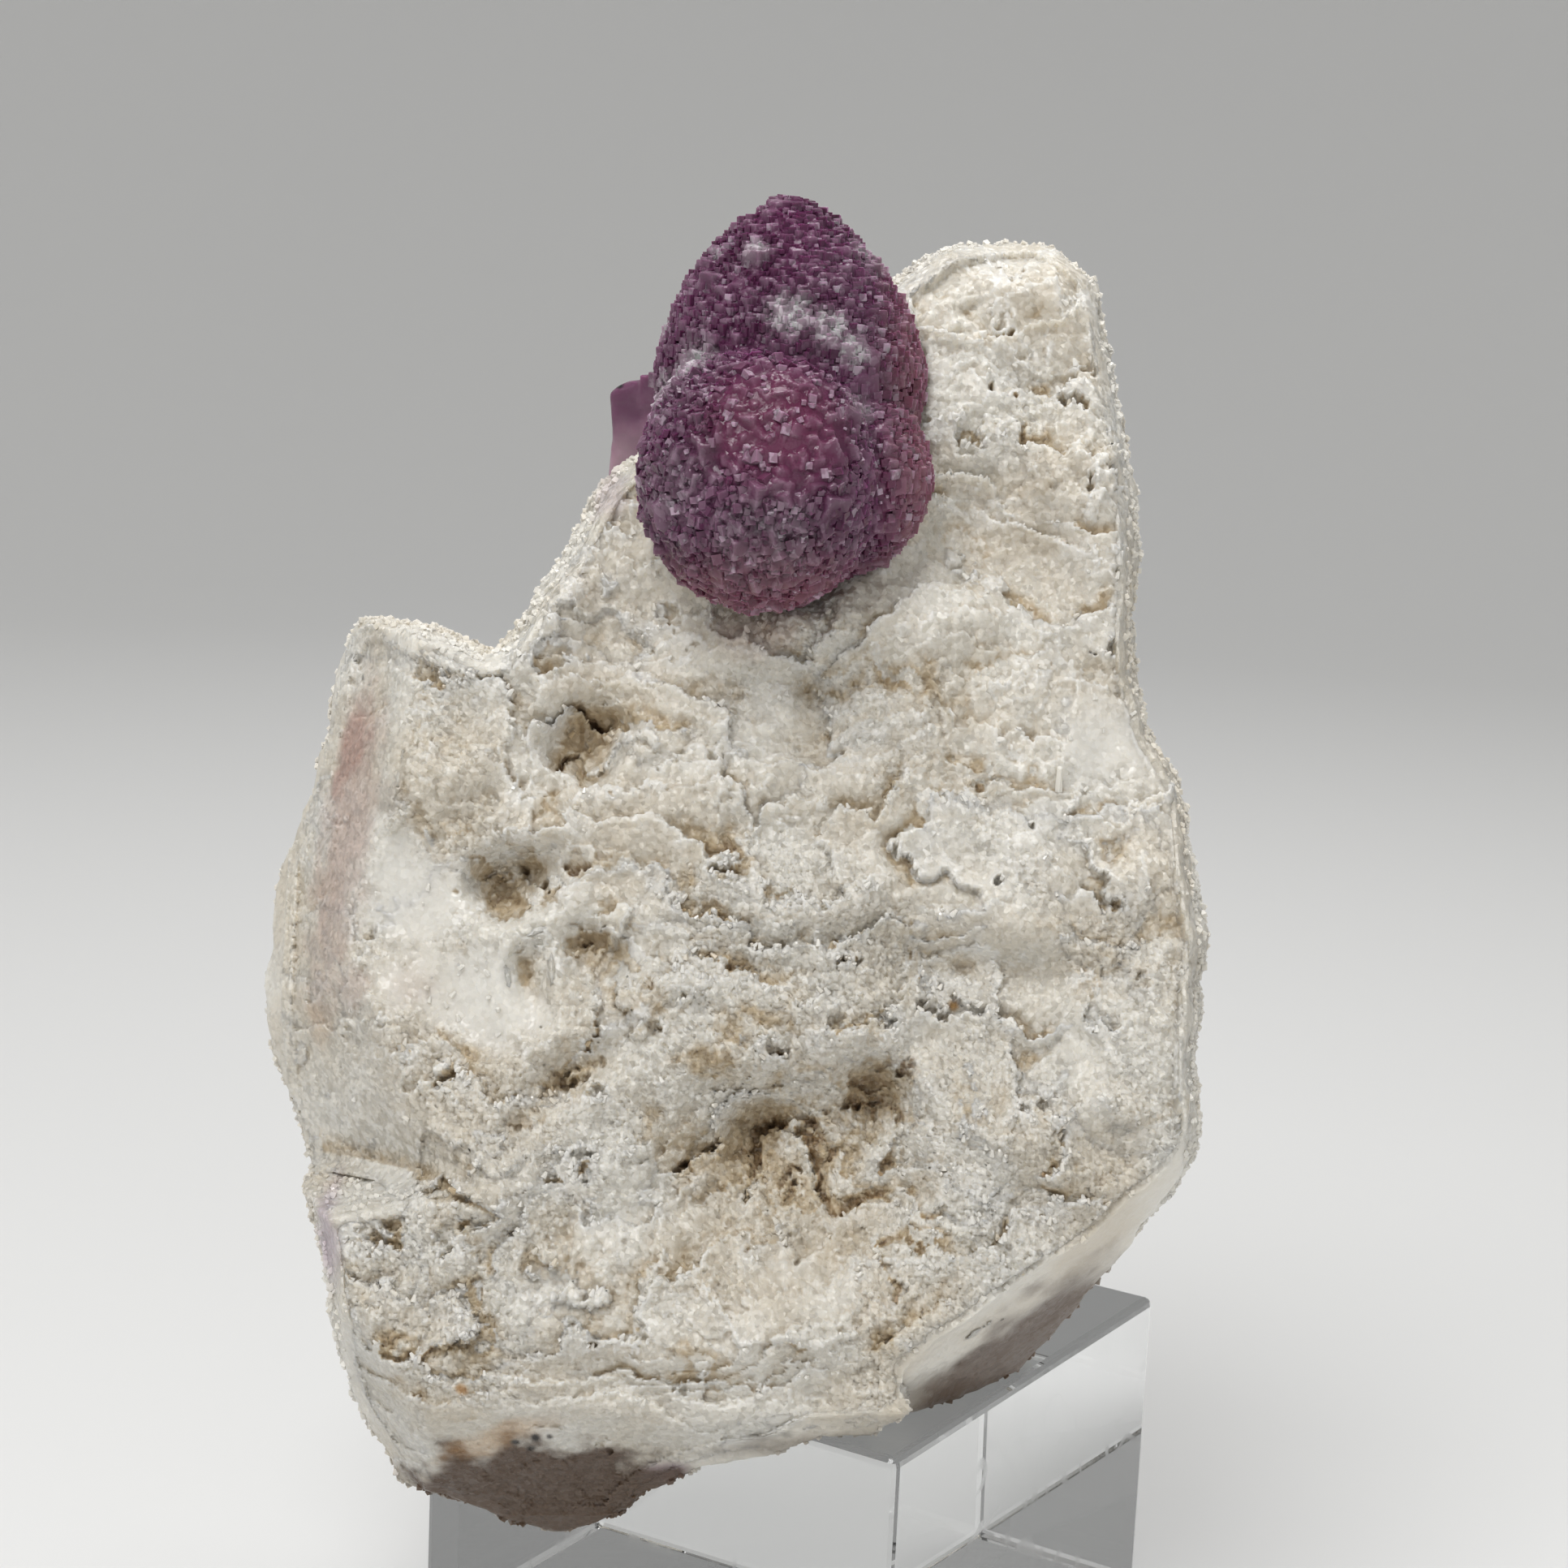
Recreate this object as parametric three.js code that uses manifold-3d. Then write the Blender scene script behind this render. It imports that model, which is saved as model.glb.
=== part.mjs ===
// Fluorite crystals on a druzy quartz matrix, resting on a clear acrylic block.
// Millimetres, +Z up, +X right, +Y away from the viewer, origin at the middle of the block's underside.

import * as THREE from "three";
import { mergeVertices } from "three/addons/utils/BufferGeometryUtils.js";
import { RoundedBoxGeometry } from "three/addons/geometries/RoundedBoxGeometry.js";
import Module from "manifold-3d";

const wasm = await Module();
wasm.setup();
const { degToRad, lerp, smoothstep, clamp } = THREE.MathUtils;

// Driving dimensions
const gap = 0.2; // between pieces that touch
const block = { side: 30, height: 18, edge: 0.6, turn: 57.8 };
const stance = { lean: 10.1, roll: 2.6, middle: [-2.4, -4.4, 49.1] }; // degrees, mm

// The slab in its own frame: x right, y up, z out of the druzy face, z = 0 at mid thickness.
const slab = {
  centre: [-0.7, -10.2], // the outline is star-shaped round this point
  front: 10.2,
  back: 12.5,
  taper: 0.12, // thickness lost per mm of height, on each face
  rim: 0.92, // share of the outline's reach where the side walls turn over
  detail: 16,
};
const outline = [
  [6.3, 27.3], [9.1, 29.4], [11.9, 28.6], [14.1, 29.0], [16.1, 27.9], [16.9, 26.2], [17.4, 22.9],
  [18.1, 19.4], [18.7, 14.6], [18.6, 9.8], [18.3, 7.7], [19.3, 2.9], [20.7, 0.9], [21.4, -3.2],
  [22.4, -8.7], [21.8, -10.2], [22.2, -11.9], [21.5, -13.5], [22.0, -18.5], [20.7, -21.1],
  [18.9, -23.3], [16.5, -26.3], [15.2, -28.4], [12.1, -32.0], [7.0, -33.2], [5.2, -36.1],
  [1.5, -35.4], [-2.9, -35.5], [-6.4, -37.6], [-9.8, -39.0], [-12.5, -40.2], [-15.9, -38.5],
  [-20.3, -36.9], [-22.3, -34.2], [-23.5, -29.8], [-24.4, -24.1], [-26.0, -18.9], [-27.1, -15.4],
  [-27.9, -12.2], [-27.6, -8.5], [-27.5, -5.0], [-26.6, -3.2], [-24.9, 0.7], [-24.1, 5.1],
  [-23.4, 8.5], [-21.4, 9.6], [-17.7, 7.9], [-15.0, 6.9], [-13.2, 10.1], [-11.2, 13.1],
  [-9.4, 16.8], [-5.5, 19.4], [-1.1, 23.4], [3.2, 25.5],
];

// Pits and lumps on the druzy face: middle, half width, half height, turn in degrees, height (pits < 0).
const faceForms = [
  { at: [1.2, -19.5], size: [8.0, 5.5], turn: 0, height: -3.0 },
  { at: [-1.4, -17.8], size: [1.7, 1.8], turn: 0, height: -1.8 },
  { at: [4.7, -15.2], size: [1.7, 2.3], turn: 20, height: -2.2 },
  { at: [-10.1, 2.1], size: [2.0, 2.8], turn: -25, height: -3.0 },
  { at: [-13.9, -5.2], size: [2.3, 1.9], turn: 0, height: -3.4 },
  { at: [-12.8, -9.5], size: [0.9, 2.1], turn: 0, height: -2.4 },
  { at: [-9.8, -8.5], size: [1.7, 1.6], turn: 0, height: -2.6 },
  { at: [-11.9, -3.9], size: [2.0, 0.9], turn: -8, height: -1.8 },
  { at: [10.3, -12.4], size: [6.0, 4.2], turn: -10, height: -1.6 },
  { at: [-10.6, -14.8], size: [3.2, 0.8], turn: 35, height: -1.7 },
  { at: [11.1, 12.2], size: [4.6, 3.2], turn: -40, height: -2.0 },
  { at: [1.0, 4.5], size: [2.2, 1.3], turn: 0, height: -1.3 },
  { at: [-19.6, -0.6], size: [1.2, 1.1], turn: 0, height: -0.9 },
  { at: [4.0, 8.0], size: [10.0, 2.2], turn: 4, height: 1.0 },
  { at: [6.0, -5.8], size: [11.0, 2.4], turn: -8, height: 1.3 },
  { at: [-4.0, -26.8], size: [11.0, 2.6], turn: -4, height: 1.2 },
  { at: [12.5, -18.5], size: [5.0, 1.2], turn: -28, height: 1.2 },
  { at: [-17.0, -20.5], size: [5.0, 2.2], turn: 10, height: 0.8 },
];
const ledge = { pitch: 4.3, height: 1.1, arch: 0.016, archMiddle: 2, drop: 0.24, wander: 1.6 };

// Broken faces: each trims the slab at a plane through a point, facing outwards. Where a face ends
// short, left or down is how far it goes from that point.
const brokenFaces = {
  upperFlank: { at: [-22.2, -7.5, 8.4], facing: [-0.85, 0.16, 0.51] },
  lowerFlank: { at: [-19.8, -14, 9], facing: [-0.71, -0.31, 0.63], down: 6.5 },
  lowerLeft: { at: [-12.5, -36.6, 4.6], facing: [0, -0.74, 0.67] },
  lowerRight: { at: [12.1, -31.9, 0], facing: [0.52, -0.69, 0.5], left: 11.3 },
  lowerLeftEnd: { at: [-21.4, -34.4, 3.0], facing: [-0.7, -0.5, 0.5] },
  back: { at: [-4, 2, -11.2], facing: [-0.16, 0.2, -0.97] },
  backRight: { at: [15, -6, -8.6], facing: [0.5, 0.08, -0.86] },
  backLeft: { at: [-19, -12, -8.8], facing: [-0.52, -0.06, -0.85] },
  backTop: { at: [8, 22, -6.2], facing: [-0.05, 0.42, -0.91] },
};
// Conchoidal chips: shallow bites by large balls.
const chips = [
  { at: [-17.6, -12.0, 21.4], radius: 12.6 },
  { at: [-20.5, -7.0, 20.2], radius: 11.6 },
  { at: [19.4, 2.6, 19.6], radius: 11.8 },
  { at: [1.5, -46.2, 3], radius: 12.8 },
  { at: [-6, -16, -30.5], radius: 20 },
  { at: [9, 8, -27], radius: 18 },
];

// Fluorite: two lobes of stepped cubes grown together, and a smoother crystal on the shoulder behind.
const mainCrystal = {
  lobes: [
    { at: [0.1, 20.9, 8.2], size: [7.0, 9.0, 6.6], power: 1.65 },
    { at: [-0.1, 15.4, 11.4], size: [6.6, 6.5, 6.6], power: 2.1 },
  ],
  core: 0.97, // size of a lobe below its cubes
  detail: 4,
  lattice: [14, 32, 4], // turn of the cubes' common lattice, degrees
  cubes: 108,
  cubeSide: [1.1, 2.0],
  sunk: 0.4, // share of a cube's side that its middle lies below the surface
};
const sideCrystal = { at: [-6.9, 18.8, 1.0], size: [4.6, 5.6, 4.6], edge: 0.6, turn: [8, -22, -4] };

const colours = {
  quartz: { color: 0xe6e1d7, roughness: 0.6, metalness: 0 },
  purpleFluorite: { color: 0x6e3a72, roughness: 0.35, metalness: 0 },
  pinkFluorite: { color: 0x9a6a9c, roughness: 0.3, metalness: 0 },
  acrylic: { color: 0xdfe6ea, roughness: 0.05, metalness: 0 },
};

// Solids from geometry and back
function toSolid(geometry) {
  const bare = geometry.clone().deleteAttribute("normal").deleteAttribute("uv");
  const merged = mergeVertices(bare, 1e-4);
  const vertProperties = Float32Array.from(merged.attributes.position.array);
  const triVerts = Uint32Array.from(merged.index.array);
  return new wasm.Manifold(new wasm.Mesh({ numProp: 3, vertProperties, triVerts }));
}

function toGeometry(solid) {
  const mesh = solid.getMesh();
  const geometry = new THREE.BufferGeometry();
  geometry.setAttribute("position", new THREE.BufferAttribute(mesh.vertProperties, 3));
  geometry.setIndex(new THREE.BufferAttribute(mesh.triVerts, 1));
  geometry.computeVertexNormals();
  return geometry;
}

// Smooth noise from -1 to 1 on a lattice of hashed values
function hashed(i, j, k) {
  const s = Math.sin(i * 127.1 + j * 311.7 + k * 74.7) * 43758.5453;
  return 2 * (s - Math.floor(s)) - 1;
}

function noise(x, y, z) {
  const [i, j, k] = [x, y, z].map(Math.floor);
  const [a, b, c] = [x - i, y - j, z - k].map((t) => t * t * (3 - 2 * t));
  const along = (dj, dk) => lerp(hashed(i, j + dj, k + dk), hashed(i + 1, j + dj, k + dk), a);
  return lerp(lerp(along(0, 0), along(1, 0), b), lerp(along(0, 1), along(1, 1), b), c);
}

// Reach of the outline from the slab's centre, at an angle in its plane
const spokes = outline
  .map(([x, y]) => new THREE.Vector2(x - slab.centre[0], y - slab.centre[1]))
  .map((v) => ({ angle: v.angle(), reach: v.length() }))
  .sort((a, b) => a.angle - b.angle);

function outlineReach(angle) {
  const fullTurn = 2 * Math.PI;
  const turned = (angle + fullTurn) % fullTurn;
  const next = spokes.findIndex((s) => s.angle > turned);
  const b = spokes[next < 0 ? 0 : next];
  const a = spokes.at(next < 0 ? -1 : next - 1);
  const span = (b.angle - a.angle + fullTurn) % fullTurn;
  return lerp(a.reach, b.reach, ((turned - a.angle + fullTurn) % fullTurn) / span);
}

// Height that one pit or lump adds at a point of the face
function formHeight({ at, size, turn, height }, x, y) {
  const local = new THREE.Vector2(x - at[0], y - at[1]).rotateAround(new THREE.Vector2(), -degToRad(turn));
  const reach = Math.hypot(local.x / size[0], local.y / size[1]);
  return height * (1 - smoothstep(reach, 0.45, 1.25));
}

// Ledges: each rises upwards to a free edge, then drops back into the recess above it
function ledgeHeight(x, y) {
  const bend = ledge.arch * smoothstep(y, -30, -8) * (x - ledge.archMiddle) ** 2;
  const phase = (y + bend + ledge.wander * noise(x / 6, y / 6, 3)) / ledge.pitch;
  const share = phase - Math.floor(phase);
  const rise = 1 - ledge.drop;
  const step = share < rise ? share / rise : (1 - share) / ledge.drop;
  return ledge.height * (0.6 + 0.4 * noise(x / 5, y / 4, 9)) * (step - 0.5);
}

function frontHeight(x, y) {
  const forms = faceForms.reduce((sum, form) => sum + formHeight(form, x, y), 0);
  const swell = 0.9 * noise(x / 7, y / 7, 1) + 0.35 * noise(x / 2.2, y / 2.2, 5);
  return slab.front - slab.taper * Math.max(0, y) + forms + ledgeHeight(x, y) + swell;
}

function backHeight(x, y) {
  const swell = 1.1 * noise(x / 8, y / 8, 21) + 0.4 * noise(x / 3, y / 3, 25);
  return slab.back - slab.taper * Math.max(0, y) + swell;
}

// The raw slab: a ball whose front cap, side band and back cap become face, walls and back
function rawSlab() {
  const geometry = new THREE.IcosahedronGeometry(1, slab.detail);
  const position = geometry.attributes.position;
  const frontCap = degToRad(104);
  const backCap = degToRad(120);
  const capShare = (from, to) => Math.sqrt((1 - Math.cos(from)) / (1 - Math.cos(to)));
  const p = new THREE.Vector3();
  for (let n = 0; n < position.count; n++) {
    p.fromBufferAttribute(position, n);
    const polar = Math.acos(clamp(p.z, -1, 1));
    const angle = Math.atan2(p.y, p.x);
    const inFront = polar < (frontCap + backCap) / 2;
    const band = clamp((polar - frontCap) / (backCap - frontCap), 0, 1); // 0 at face, 1 at back
    const wall = Math.cos(Math.PI * band); // 1 at face, 0 at the rim, -1 at back
    let share = 1 - (1 - slab.rim) * wall * wall;
    if (polar < frontCap) share = slab.rim * capShare(polar, frontCap);
    if (polar > backCap) share = slab.rim * capShare(Math.PI - polar, Math.PI - backCap);
    const reach = share * outlineReach(angle);
    const x = slab.centre[0] + reach * Math.cos(angle);
    const y = slab.centre[1] + reach * Math.sin(angle);
    const z = wall * (inFront ? frontHeight(x, y) : backHeight(x, y));
    position.setXYZ(n, x, y, z);
  }
  return toSolid(geometry);
}

// A box that takes away what lies beyond a broken face
function beyondFace({ at, facing, left = 60, down = 60 }) {
  const far = 60;
  const out = new THREE.Vector3(...facing).normalize();
  const across = new THREE.Vector3(0, 1, 0).cross(out).normalize();
  const along = out.clone().cross(across);
  const box = new THREE.BoxGeometry(left + far, down + far, far);
  box.translate((far - left) / 2, (far - down) / 2, far / 2);
  box.applyMatrix4(new THREE.Matrix4().makeBasis(across, along, out));
  return toSolid(box.translate(...at));
}

function chipBall({ at, radius }) {
  const detail = 6;
  return toSolid(new THREE.IcosahedronGeometry(radius, detail).translate(...at));
}

// Whether a point lies inside the raw slab, well below its face
function isBuried({ x, y, z }) {
  const fromCentre = new THREE.Vector2(x - slab.centre[0], y - slab.centre[1]);
  const depth = 0.4;
  return fromCentre.length() < outlineReach(fromCentre.angle()) && z < frontHeight(x, y) - depth;
}

// A lobe: a superellipsoid between an octahedron (power 1) and a ball (power 2)
function lobeReach(direction, { size, power }) {
  const sum = ["x", "y", "z"].reduce(
    (total, axis, n) => total + Math.abs(direction[axis] / size[n]) ** power, 0);
  return sum ** (-1 / power);
}

function lobeGeometry(lobe, grow) {
  const geometry = new THREE.IcosahedronGeometry(1, mainCrystal.detail);
  const position = geometry.attributes.position;
  const p = new THREE.Vector3();
  for (let n = 0; n < position.count; n++) {
    p.fromBufferAttribute(position, n);
    p.multiplyScalar(lobeReach(p, lobe) * mainCrystal.core + grow);
    position.setXYZ(n, p.x, p.y, p.z);
  }
  return geometry.translate(...lobe.at);
}

const latticeTurn = new THREE.Quaternion().setFromEuler(
  new THREE.Euler(...mainCrystal.lattice.map(degToRad)));

// Cubes on one lattice, spread evenly over a lobe by turning a golden angle from one to the next
function lobeCubes(lobe, first, grow) {
  const goldenAngle = Math.PI * (3 - Math.sqrt(5));
  const each = mainCrystal.cubes / mainCrystal.lobes.length;
  const cubes = [];
  for (let n = 0; n < each; n++) {
    const height = 1 - (2 * (n + 0.5)) / each;
    const ring = Math.sqrt(1 - height * height);
    const direction = new THREE.Vector3(
      ring * Math.cos(n * goldenAngle), height, ring * Math.sin(n * goldenAngle));
    const side = lerp(...mainCrystal.cubeSide, 0.5 + 0.5 * hashed(n, first, 7));
    const centre = direction.clone()
      .multiplyScalar(lobeReach(direction, lobe) - mainCrystal.sunk * side)
      .add(new THREE.Vector3(...lobe.at));
    if (isBuried(centre)) continue;
    const grown = side + 2 * grow;
    const cube = new THREE.BoxGeometry(grown, grown, grown).applyQuaternion(latticeTurn);
    cubes.push(toSolid(cube.translate(...centre)));
  }
  return cubes;
}

function mainCrystalSolid(grow = 0) {
  const lobes = mainCrystal.lobes.map((lobe) => toSolid(lobeGeometry(lobe, grow)));
  const cubes = mainCrystal.lobes.flatMap((lobe, n) => lobeCubes(lobe, n, grow));
  return [...lobes, ...cubes].reduce((whole, piece) => whole.add(piece));
}

function sideCrystalSolid(grow = 0) {
  const { at, size, edge, turn } = sideCrystal;
  const [width, height, depth] = size.map((length) => length + 2 * grow);
  const box = new RoundedBoxGeometry(width, height, depth, 2, edge);
  box.applyQuaternion(new THREE.Quaternion().setFromEuler(new THREE.Euler(...turn.map(degToRad))));
  return toSolid(box.translate(...at));
}

function blockGeometry(grow = 0) {
  const { side, height, edge, turn } = block;
  const wide = side + 2 * grow;
  const tall = height + 2 * grow;
  const geometry = grow
    ? new THREE.BoxGeometry(wide, wide, tall)
    : new RoundedBoxGeometry(wide, wide, tall, 1, edge);
  return geometry.rotateZ(degToRad(turn)).translate(0, 0, height / 2);
}

// The specimen stands in a leaning frame of its own
const specimen = new THREE.Group();
specimen.position.set(...stance.middle);
specimen.rotation.set(degToRad(90 - stance.lean), 0, degToRad(stance.roll));
specimen.updateMatrixWorld(true);
const intoSpecimen = specimen.matrixWorld.clone().invert();

function matrixSolid(sockets) {
  const blockSeat = toSolid(blockGeometry(gap).applyMatrix4(intoSpecimen));
  const cuts = [
    ...Object.values(brokenFaces).map(beyondFace),
    ...chips.map(chipBall),
    ...sockets,
    blockSeat,
  ];
  const cut = cuts.reduce((whole, piece) => whole.subtract(piece), rawSlab());
  // Crumbs that the cuts set free are left out
  return cut.decompose().reduce((most, body) => (body.volume() > most.volume() ? body : most));
}

function addPiece(parent, name, solid, look) {
  const mesh = new THREE.Mesh(toGeometry(solid), new THREE.MeshStandardMaterial(look));
  mesh.name = name;
  parent.add(mesh);
}

const mainSocket = mainCrystalSolid(gap);
const matrix = matrixSolid([mainSocket, sideCrystalSolid(gap)]);
addPiece(specimen, "matrix", matrix, colours.quartz);
addPiece(specimen, "fluorite_crystal", mainCrystalSolid(), colours.purpleFluorite);
addPiece(specimen, "side_crystal", sideCrystalSolid().subtract(mainSocket), colours.pinkFluorite);

const part = new THREE.Group();
part.add(specimen);
addPiece(part, "acrylic_block", toSolid(blockGeometry()), colours.acrylic);

export default part;
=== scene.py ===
# Fluorite grown on a druzy quartz slab, standing on a clear acrylic block
import math

import bmesh
import bpy
import numpy as np
from mathutils import Euler, Matrix, Vector
from mathutils.bvhtree import BVHTree


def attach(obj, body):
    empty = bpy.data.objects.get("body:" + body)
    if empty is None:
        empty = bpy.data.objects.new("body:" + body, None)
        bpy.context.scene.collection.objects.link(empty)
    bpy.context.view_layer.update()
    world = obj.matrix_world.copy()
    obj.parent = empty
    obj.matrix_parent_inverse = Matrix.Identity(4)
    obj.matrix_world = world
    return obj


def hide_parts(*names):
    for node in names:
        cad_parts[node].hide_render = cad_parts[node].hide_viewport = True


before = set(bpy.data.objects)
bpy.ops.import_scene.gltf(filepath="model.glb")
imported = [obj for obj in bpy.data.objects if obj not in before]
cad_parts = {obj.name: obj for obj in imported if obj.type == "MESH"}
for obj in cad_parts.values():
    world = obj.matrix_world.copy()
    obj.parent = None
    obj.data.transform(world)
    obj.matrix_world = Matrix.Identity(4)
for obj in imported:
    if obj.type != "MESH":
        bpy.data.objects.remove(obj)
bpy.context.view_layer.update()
mm = 0.001

# The specimen leans back and rolls a little; its own frame is x right, y up, z out of the druzy face, in mm
stance = {"lean": 10.1, "roll": 2.6, "middle": (-2.4, -4.4, 49.1)}
leanTurn = Euler((math.radians(90 - stance["lean"]), 0, 0)).to_matrix()
rollTurn = Euler((0, 0, math.radians(stance["roll"]))).to_matrix()
specimenTurn = leanTurn @ rollTurn
specimenPlace = Matrix.Translation(Vector(stance["middle"]) * mm)
specimenToWorld = specimenPlace @ specimenTurn.to_4x4() @ Matrix.Scale(mm, 4)


# Noise and small sums on numpy arrays

def latticeValue(cells, seed):
    mixed = (cells[:, 0] * 73856093) ^ (cells[:, 1] * 19349663) ^ (seed * 40503)
    if cells.shape[1] == 3:
        mixed ^= cells[:, 2] * 83492791
    mixed = ((mixed ^ (mixed >> 13)) * 1274126177) & 0x7FFFFFFF
    mixed = ((mixed ^ (mixed >> 11)) * 668265263) & 0x7FFFFFFF
    return (mixed >> 8 & 0xFFFF) / 32767.5 - 1


def noiseAt(points, size, seed):
    scaled = points / size
    cells = np.floor(scaled).astype(np.int64)
    t = scaled - cells
    t = t * t * (3 - 2 * t)
    total = np.zeros(len(points))
    for corner in np.ndindex((2,) * points.shape[1]):
        weight = np.prod(np.where(corner, t, 1 - t), axis=1)
        total += weight * latticeValue(cells + np.array(corner), seed)
    return total


def ramp(value, low, high):
    t = np.clip((value - low) / (high - low), 0, 1)
    return t * t * (3 - 2 * t)


def blurred(field, width):
    reach = int(3 * width) + 1
    kernel = np.exp(-0.5 * (np.arange(-reach, reach + 1) / width) ** 2)
    kernel /= kernel.sum()
    padded = np.pad(field, reach, mode="edge")
    rows = np.apply_along_axis(np.convolve, 1, padded, kernel, mode="valid")
    return np.apply_along_axis(np.convolve, 0, rows, kernel, mode="valid")


def unit(vectors):
    return vectors / np.linalg.norm(vectors, axis=1, keepdims=True)


def turnMatrix(degrees):
    return np.array(Euler([math.radians(a) for a in degrees]).to_matrix())


# Meshes in the specimen's millimetres

def meshPoints(mesh):
    flat = np.empty(len(mesh.vertices) * 3)
    mesh.vertices.foreach_get("co", flat)
    return flat.reshape(-1, 3)


def meshNormals(mesh):
    flat = np.empty(len(mesh.vertices) * 3)
    mesh.vertices.foreach_get("normal", flat)
    return flat.reshape(-1, 3)


def setPoints(mesh, points):
    mesh.vertices.foreach_set("co", points.astype(np.float32).ravel())
    mesh.update()


def storeValue(mesh, name, values):
    attribute = mesh.attributes.get(name) or mesh.attributes.new(name, "FLOAT", "POINT")
    attribute.data.foreach_set("value", values.astype(np.float32))


def readStored(mesh, name):
    values = np.empty(len(mesh.vertices))
    mesh.attributes[name].data.foreach_get("value", values)
    return values


def neighbourMean(mesh, values, rounds):
    pairs = np.empty(len(mesh.edges) * 2, np.int64)
    mesh.edges.foreach_get("vertices", pairs)
    a, b = pairs.reshape(-1, 2).T
    count = np.bincount(a, minlength=len(values)) + np.bincount(b, minlength=len(values))
    for _ in range(rounds):
        total = np.stack([np.bincount(a, axis[b], len(values)) + np.bincount(b, axis[a], len(values))
                          for axis in values.T], axis=1)
        values = total / np.maximum(count, 1)[:, None]
    return values


def newPiece(name, mesh):
    piece = bpy.data.objects.new(name, mesh)
    bpy.context.scene.collection.objects.link(piece)
    return piece


def bevelled(bm, edge):
    bmesh.ops.bevel(bm, geom=bm.edges[:], offset=edge, segments=3, profile=0.5, affect="EDGES")


def meshFrom(bm, name):
    mesh = bpy.data.meshes.new(name)
    bm.to_mesh(mesh)
    bm.free()
    return mesh


def quadMesh(name, points, quads):
    mesh = bpy.data.meshes.new(name)
    mesh.vertices.add(len(points))
    mesh.loops.add(quads.size)
    mesh.loops.foreach_set("vertex_index", quads.ravel().astype(np.int32))
    mesh.polygons.add(len(quads))
    mesh.polygons.foreach_set("loop_start", np.arange(0, quads.size, 4, dtype=np.int32))
    mesh.update(calc_edges=True)
    setPoints(mesh, points)
    return mesh


def bakeModifiers(piece):
    graph = bpy.context.evaluated_depsgraph_get()
    mesh = bpy.data.meshes.new_from_object(piece.evaluated_get(graph))
    piece.modifiers.clear()
    old = piece.data
    piece.data = mesh
    bpy.data.meshes.remove(old)
    mesh.name = piece.name
    return piece


def nodeCopy(nodeName, pieceName):
    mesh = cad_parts[nodeName].data.copy()
    mesh.transform(specimenToWorld.inverted())
    mesh.materials.clear()
    bm = bmesh.new()
    bm.from_mesh(mesh)
    bmesh.ops.remove_doubles(bm, verts=bm.verts, dist=0.002)
    bm.to_mesh(mesh)
    bm.free()
    return newPiece(pieceName, mesh)


def modified(piece, kind, **settings):
    modifier = piece.modifiers.new(kind.lower(), kind)
    for key, value in settings.items():
        setattr(modifier, key, value)
    return bakeModifiers(piece)


def settle(piece, slot, *nodes):
    piece.data.transform(specimenToWorld)
    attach(piece, "root")
    if nodes:
        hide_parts(*nodes)
    return piece


# Small helpers for node trees

def setInputs(tree, node, inputs):
    for key, value in inputs.items():
        if isinstance(value, bpy.types.NodeSocket):
            tree.links.new(value, node.inputs[key])
        else:
            node.inputs[key].default_value = value


def addNode(tree, kind, inputs=None, **settings):
    node = tree.nodes.new(kind)
    for key, value in settings.items():
        setattr(node, key, value)
    setInputs(tree, node, inputs or {})
    return node


def mathNode(tree, operation, a, b):
    return addNode(tree, "ShaderNodeMath", {0: a, 1: b}, operation=operation).outputs[0]


def product(tree, a, b):
    return mathNode(tree, "MULTIPLY", a, b)


def vectorMath(tree, operation, a, b):
    return addNode(tree, "ShaderNodeVectorMath", {0: a, 1: b}, operation=operation).outputs


def mixColor(tree, share, a, b, blend="MIX"):
    inputs = {0: share, 6: a, 7: b}  # its sockets for colours
    return addNode(tree, "ShaderNodeMix", inputs, data_type="RGBA", blend_type=blend).outputs[2]


def mapRange(tree, value, low, high, toLow=0.0, toHigh=1.0):
    inputs = {0: value, 1: low, 2: high, 3: toLow, 4: toHigh}
    return addNode(tree, "ShaderNodeMapRange", inputs, interpolation_type="SMOOTHSTEP").outputs[0]


def readValue(tree, name):
    return addNode(tree, "ShaderNodeAttribute", attribute_name=name).outputs["Fac"]


def noiseTexture(tree, vector, scale, detail):
    inputs = {"Vector": vector, "Scale": scale, "Detail": detail}
    return addNode(tree, "ShaderNodeTexNoise", inputs).outputs["Fac"]


def bumpNormal(tree, height, distance, strength):
    inputs = {"Height": height, "Distance": distance, "Strength": strength}
    return addNode(tree, "ShaderNodeBump", inputs).outputs[0]


def scatter(weight, radius, reach):  # light below the surface; reach in mm
    return {"Subsurface Weight": weight, "Subsurface Radius": radius, "Subsurface Scale": reach * mm}


def newMaterial(name):
    material = bpy.data.materials.new(name)
    material.use_nodes = True
    tree = material.node_tree
    place = addNode(tree, "ShaderNodeTexCoord").outputs["Object"]
    return material, tree, tree.nodes["Principled BSDF"], place


def newGroup(kind, name, inputs, outputs):
    group = bpy.data.node_groups.new(name, kind + "NodeTree")
    for direction, sockets in (("INPUT", inputs), ("OUTPUT", outputs)):
        for label, socket in sockets.items():
            group.interface.new_socket(label, in_out=direction, socket_type="NodeSocket" + socket)
    return group, group.nodes.new("NodeGroupInput").outputs, group.nodes.new("NodeGroupOutput").inputs


def placeGroup(tree, group, inputs):
    return addNode(tree, "ShaderNodeGroup", inputs, node_tree=group).outputs


# Shared effects

quartzMasks = ["Recess", "Rim", "Stain", "Blush", "Lilac", "Earth", "Ochre", "Speck"]


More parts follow.
